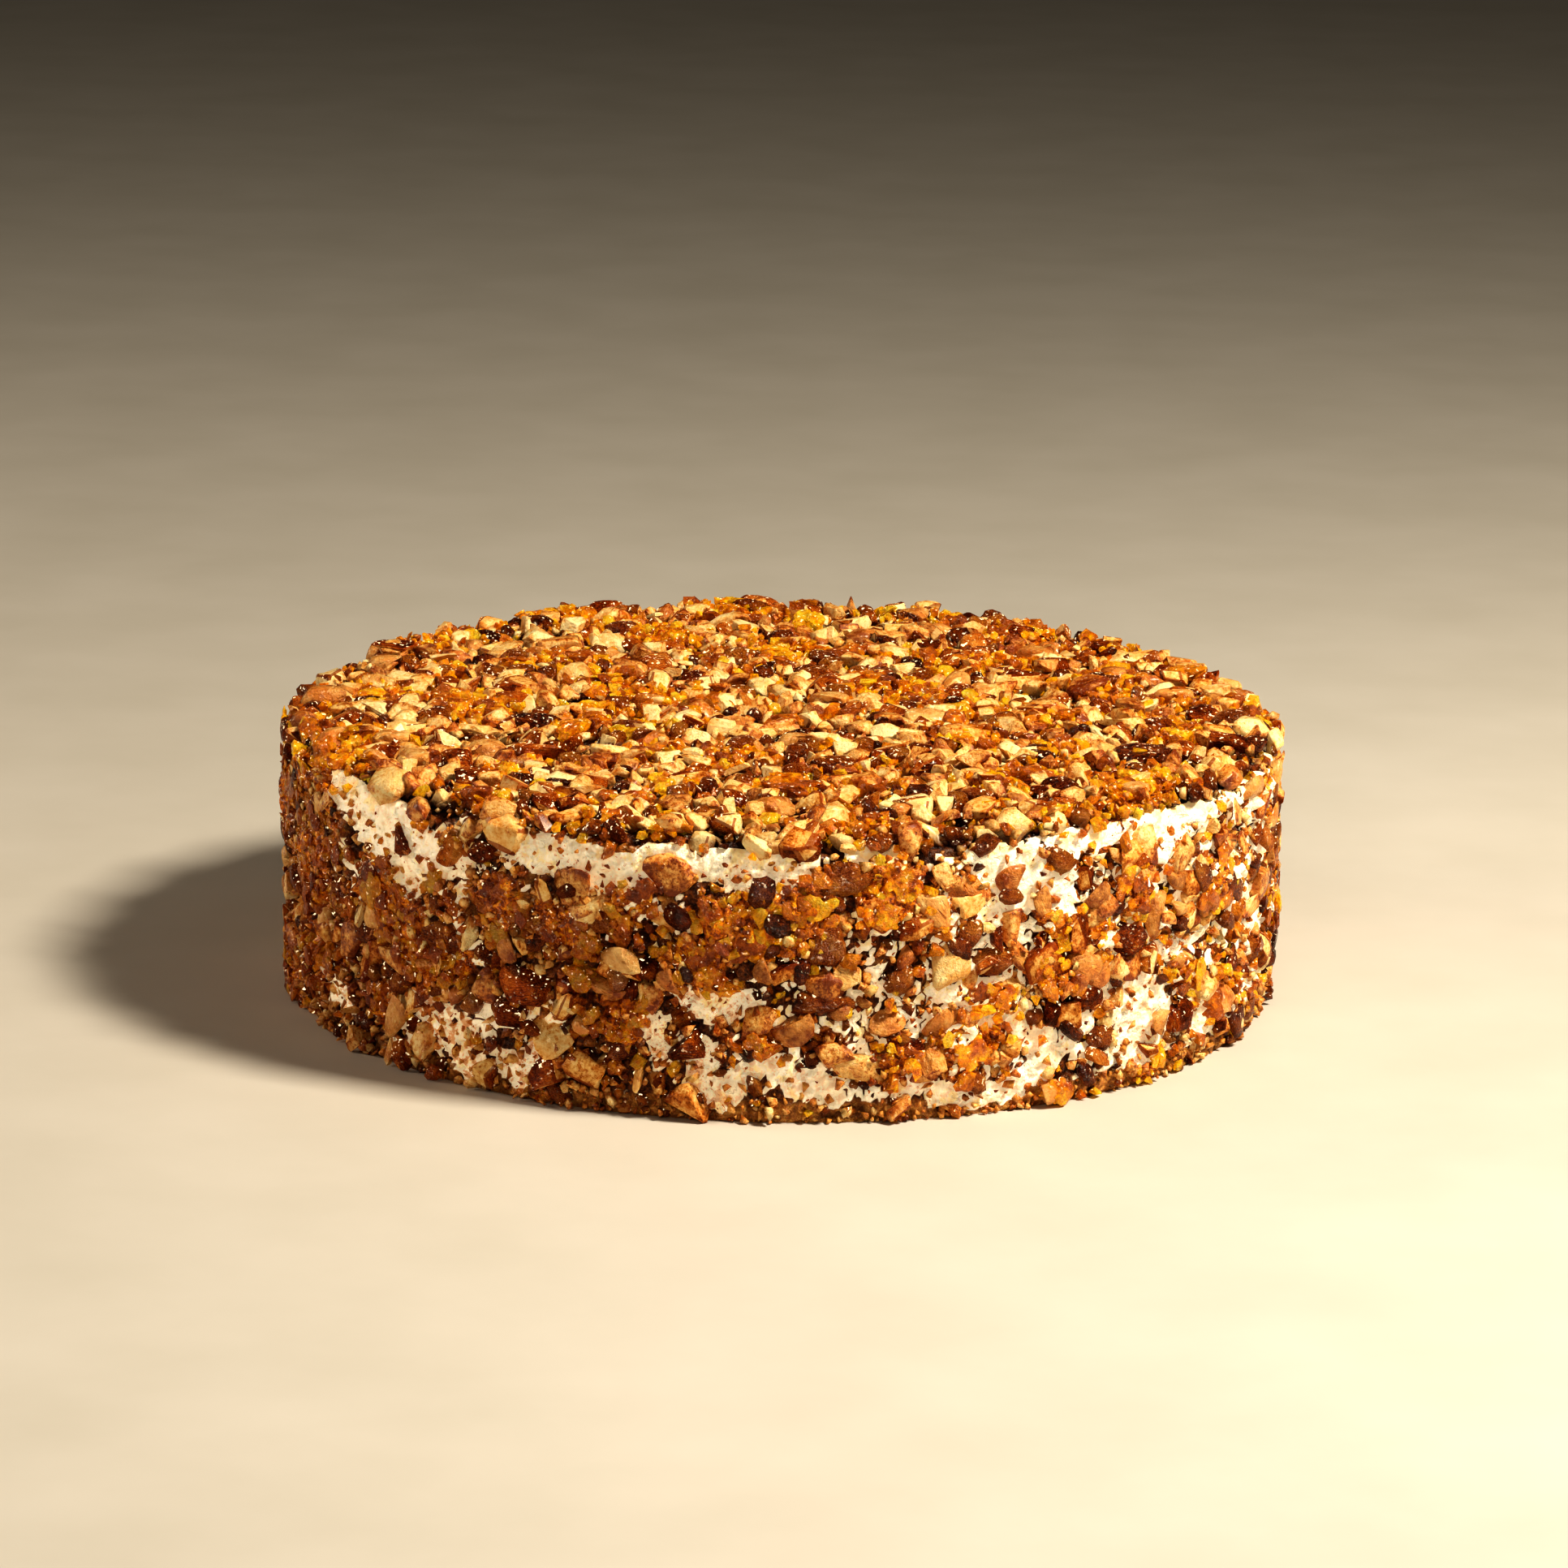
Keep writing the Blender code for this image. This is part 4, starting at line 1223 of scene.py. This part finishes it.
bigNut = {"layer": "big", "length": (0.0072, 0.0118), "power": 1.2, "width": (0.55, 0.85),
          "thickness": (0.42, 0.65), "stand": (0.1, 0.6), "tilt": 0.6, "where": nutty}
middleNut = {"layer": "middle", "length": (0.0043, 0.0090), "power": 1.2, "width": (0.55, 0.88),
             "thickness": (0.50, 0.80), "stand": (0.0, 0.6), "tilt": 0.9, "where": nutty}
upperNut = {"layer": "upper", "length": (0.0040, 0.0078), "power": 1.3, "width": (0.60, 0.90),
            "thickness": (0.50, 0.80), "stand": (0.4, 0.9), "tilt": 1.0, "where": piledNuts}
smallNut = {"layer": "small", "length": (0.0018, 0.0040), "power": 1.2, "width": (0.6, 0.9),
            "thickness": (0.5, 0.8), "stand": (0.2, 1.2), "tilt": 1.1, "where": nutBits}
fillingNut = {**smallNut, "layer": "filling", "stand": (0.0, 0.6)}
bigPale = {**bigNut, "where": paleNuts}
middlePale = {**middleNut, "where": paleNuts}
smallCaramel = {"layer": "small", "length": (0.0017, 0.0036), "power": 1.2, "width": (0.65, 0.95),
                "thickness": (0.6, 0.9), "stand": (0.2, 1.1), "tilt": 1.2, "where": inCaramel}
fillingCaramel = {**smallCaramel, "layer": "filling", "stand": (0.0, 0.7)}
middleCaramel = {**smallCaramel, "layer": "middle", "length": (0.0032, 0.0062), "power": 1.5,
                 "stand": (0.1, 0.7)}
bigCaramel = {**bigNut, "length": (0.0056, 0.0100), "width": (0.65, 0.95), "thickness": (0.45, 0.70),
              "where": caramelHeap}
upperCaramel = {**upperNut, "length": (0.0026, 0.0056), "where": piledCaramel}
clearHeap = {**middleCaramel, "layer": "heap", "length": (0.0020, 0.0040), "stand": (0.3, 1.0),
             "where": caramelHeap}
brownHeap = {**middleCaramel, "layer": "heap", "stand": (0.2, 0.8), "where": caramelHeap}
thin = {"length": (0.0050, 0.0095), "width": (0.35, 0.6), "thickness": (0.14, 0.24)}
middleSliver = {**middleNut, **thin, "stand": (0.5, 2.4)}
upperSliver = {**upperNut, **thin, "stand": (1.2, 2.6)}
fineCrumb = {"layer": "crumb", "length": (0.0009, 0.0026), "power": 1.3, "width": (0.6, 0.95),
             "thickness": (0.5, 0.9), "stand": (0.1, 0.9), "tilt": 1.2, "where": inCrumb}
beddedCrumb = {**smallNut, "length": (0.0014, 0.0036), "stand": (-0.2, 0.3), "where": bedded}
fleck = {"layer": "crumb", "length": (0.0006, 0.0022), "power": 2.0, "width": (0.6, 0.95),
         "thickness": (0.3, 0.6), "stand": (0.0, 0.5), "tilt": 0.5, "where": onCream}

# Each kind's takes: what is scattered, its shapes, and from which draw to which it takes its layer's points.
kinds = (
    {"name": "peeledNuts", "seed": 21, "look": peeledNut, "takes": (
        (largeNuts, bigKernel, 0.0, 0.09), (largeNuts, bigChunk, 0.09, 0.26), (bigPale, bigChunk, 0.0, 0.16),
        (middlePale, chunk, 0.0, 0.13), (middlePale, smallKernel, 0.13, 0.15), (upperNut, chunk, 0.0, 0.28))},
    {"name": "peeledBits", "seed": 31, "look": peeledNut, "takes": (
        (smallNut, nutBit, 0.0, 0.20), (fillingNut, nutBit, 0.0, 0.08))},
    {"name": "skinNuts", "seed": 22, "look": skinNut, "takes": (
        (largeNuts, bigKernel, 0.26, 0.36), (largeNuts, bigChunk, 0.36, 0.58), (bigNut, bigChunk, 0.16, 0.28),
        (bigNut, bigKernel, 0.28, 0.34), (middleNut, chunk, 0.17, 0.27), (middleNut, smallKernel, 0.30, 0.33),
        (upperNut, chunk, 0.28, 0.44))},
    {"name": "skinBits", "seed": 32, "look": skinNut, "takes": (
        (smallNut, nutBit, 0.22, 0.34), (fillingNut, nutBit, 0.10, 0.18))},
    {"name": "candiedNuts", "seed": 23, "look": candiedNut, "takes": (
        (largeNuts, crusted, 0.58, 0.78), (bigNut, smallCrusted, 0.34, 0.45),
        (middleNut, smallCrusted, 0.33, 0.42), (upperNut, smallCrusted, 0.44, 0.58),
        (smallNut, crustedBit, 0.34, 0.42), (fillingNut, crustedBit, 0.18, 0.28))},
    {"name": "peanutHalves", "seed": 24, "look": peanut, "takes": (
        (largeNuts, halfKernel, 0.78, 0.88), (bigNut, halfKernel, 0.45, 0.55),
        (middleNut, smallHalf, 0.42, 0.48))},
    {"name": "nutSlivers", "seed": 25, "look": nutSliver, "takes": (
        (middleSliver, flake, 0.48, 0.52), (upperSliver, flake, 0.58, 0.66))},
    {"name": "clearCaramel", "seed": 26, "look": clearCaramel, "takes": (
        (largeNuts, caramelLump, 0.88, 0.95), (bigCaramel, caramelLump, 0.55, 0.90),
        (middleCaramel, smallLump, 0.52, 0.70), (middleCaramel, crystal, 0.70, 0.80),
        (upperCaramel, crystal, 0.66, 0.90), (smallCaramel, crystal, 0.47, 0.80),
        (fillingCaramel, crystal, 0.40, 0.74), (clearHeap, crystal, 0.0, 0.55))},
    {"name": "brownedCaramel", "seed": 27, "look": brownedCaramel, "takes": (
        (largeNuts, caramelLump, 0.95, 1.01), (bigCaramel, caramelLump, 0.90, 1.01),
        (middleCaramel, smallLump, 0.80, 0.92), (middleCaramel, crystal, 0.92, 1.01),
        (upperCaramel, crystal, 0.90, 1.01), (smallCaramel, crystal, 0.80, 1.01),
        (fillingCaramel, crystal, 0.74, 1.01), (brownHeap, crystal, 0.85, 1.01))},
    {"name": "fineCrumb", "seed": 28, "look": nutCrumb, "takes": (
        (fineCrumb, crumb, 0.0, 0.55), (beddedCrumb, crumb, 0.0, 1.01))},
    {"name": "skinFlecks", "seed": 29, "look": skinFleck, "takes": (
        (fleck, crumb, 0.8, 1.01),)},
)


photoView = {"distance": 1.56, "elevation": 14.46, "roll": 1.025, "lens": 145.9, "aim": (0.0005, 0.0, 0.0498)}


def placeCamera():
    lift, roll = math.radians(photoView["elevation"]), math.radians(photoView["roll"])
    back = Vector((0, -math.cos(lift), math.sin(lift)))
    right = Vector((1, 0, 0))
    up = back.cross(right)
    tiltedRight = right * math.cos(roll) + up * math.sin(roll)
    tiltedUp = up * math.cos(roll) - right * math.sin(roll)
    camera = bpy.data.objects.new("camera", bpy.data.cameras.new("camera"))
    turned = Matrix((tiltedRight, tiltedUp, back)).transposed().to_4x4()
    camera.matrix_world = Matrix.Translation(Vector(photoView["aim"]) + back * photoView["distance"]) @ turned
    camera.data.lens = photoView["lens"]
    camera.data.sensor_width = 36
    bpy.context.scene.collection.objects.link(camera)
    bpy.context.scene.camera = camera


lamps = (
    # name, degrees from the front, elevation, distance, width, watts, colour
    ("key", 62, 50, 1.1, 0.22, 14.8, (1.0, 0.91, 0.75)),
    ("front fill", -6, 26, 1.5, 0.35, 2.0, (1.0, 0.89, 0.73)),
    ("left edge", -96, 16, 1.3, 0.3, 4.8, (1.0, 0.89, 0.73)),
)


room = {"colour": (1.0, 0.90, 0.76, 1.0), "strength": 0.022}
paleFloor = {
    "halfWidth": 6.0,
    "roughness": 0.7,
    "colours": shades((0.3, 206, 200, 190), (0.7, 212, 206, 197)),
}


def hangLamps():
    for name, degrees, elevation, distance, width, watts, colour in lamps:
        lamp = bpy.data.objects.new(name, bpy.data.lights.new(name, "AREA"))
        lamp.data.energy = watts
        lamp.data.size = width
        lamp.data.color = colour
        turn, lift = math.radians(degrees), math.radians(elevation)
        away = Vector((math.cos(lift) * math.sin(turn), -math.cos(lift) * math.cos(turn), math.sin(lift)))
        lamp.location = away * distance + Vector(photoView["aim"])
        lamp.rotation_euler = away.to_track_quat("Z", "Y").to_euler()
        bpy.context.scene.collection.objects.link(lamp)
    world = bpy.data.worlds.new("room")
    world.use_nodes = True
    background = world.node_tree.nodes["Background"]
    background.inputs["Color"].default_value = room["colour"]
    background.inputs["Strength"].default_value = room["strength"]
    bpy.context.scene.world = world


def layFloor():
    half = paleFloor["halfWidth"]
    corners = [(-half, -half, 0), (half, -half, 0), (half, half, 0), (-half, half, 0)]
    mesh = bpy.data.meshes.new("floor")
    mesh.from_pydata(corners, [], [(0, 1, 2, 3)])
    material, web, shader = newFinish("pale floor", paleFloor["roughness"])
    mottled = web.cloud(onObject(web), 0.05, 4.0)
    web.feed(shader.inputs["Base Color"], ramp(web, mottled, paleFloor["colours"]))
    mesh.materials.append(material)
    floor = bpy.data.objects.new("floor", mesh)
    bpy.context.scene.collection.objects.link(floor)


placeCamera()
hangLamps()
layFloor()
print("camera, lamps and floor placed")
body = growBody()
print("cream body", countTriangles(body), "triangles")
nutPlaces = placeLargeNuts()
print("large nuts placed", len(nutPlaces.data.vertices))
pieces = [body] + [growKind(kind, body, nutPlaces) for kind in kinds]
print("all pieces", sum(countTriangles(piece) for piece in pieces), "triangles")
for piece in pieces:
    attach(piece, "root")
    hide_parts("cake")

view = bpy.context.scene.view_settings
view.view_transform = "Standard"
view.look = "High Contrast"

bpy.context.view_layer.update()
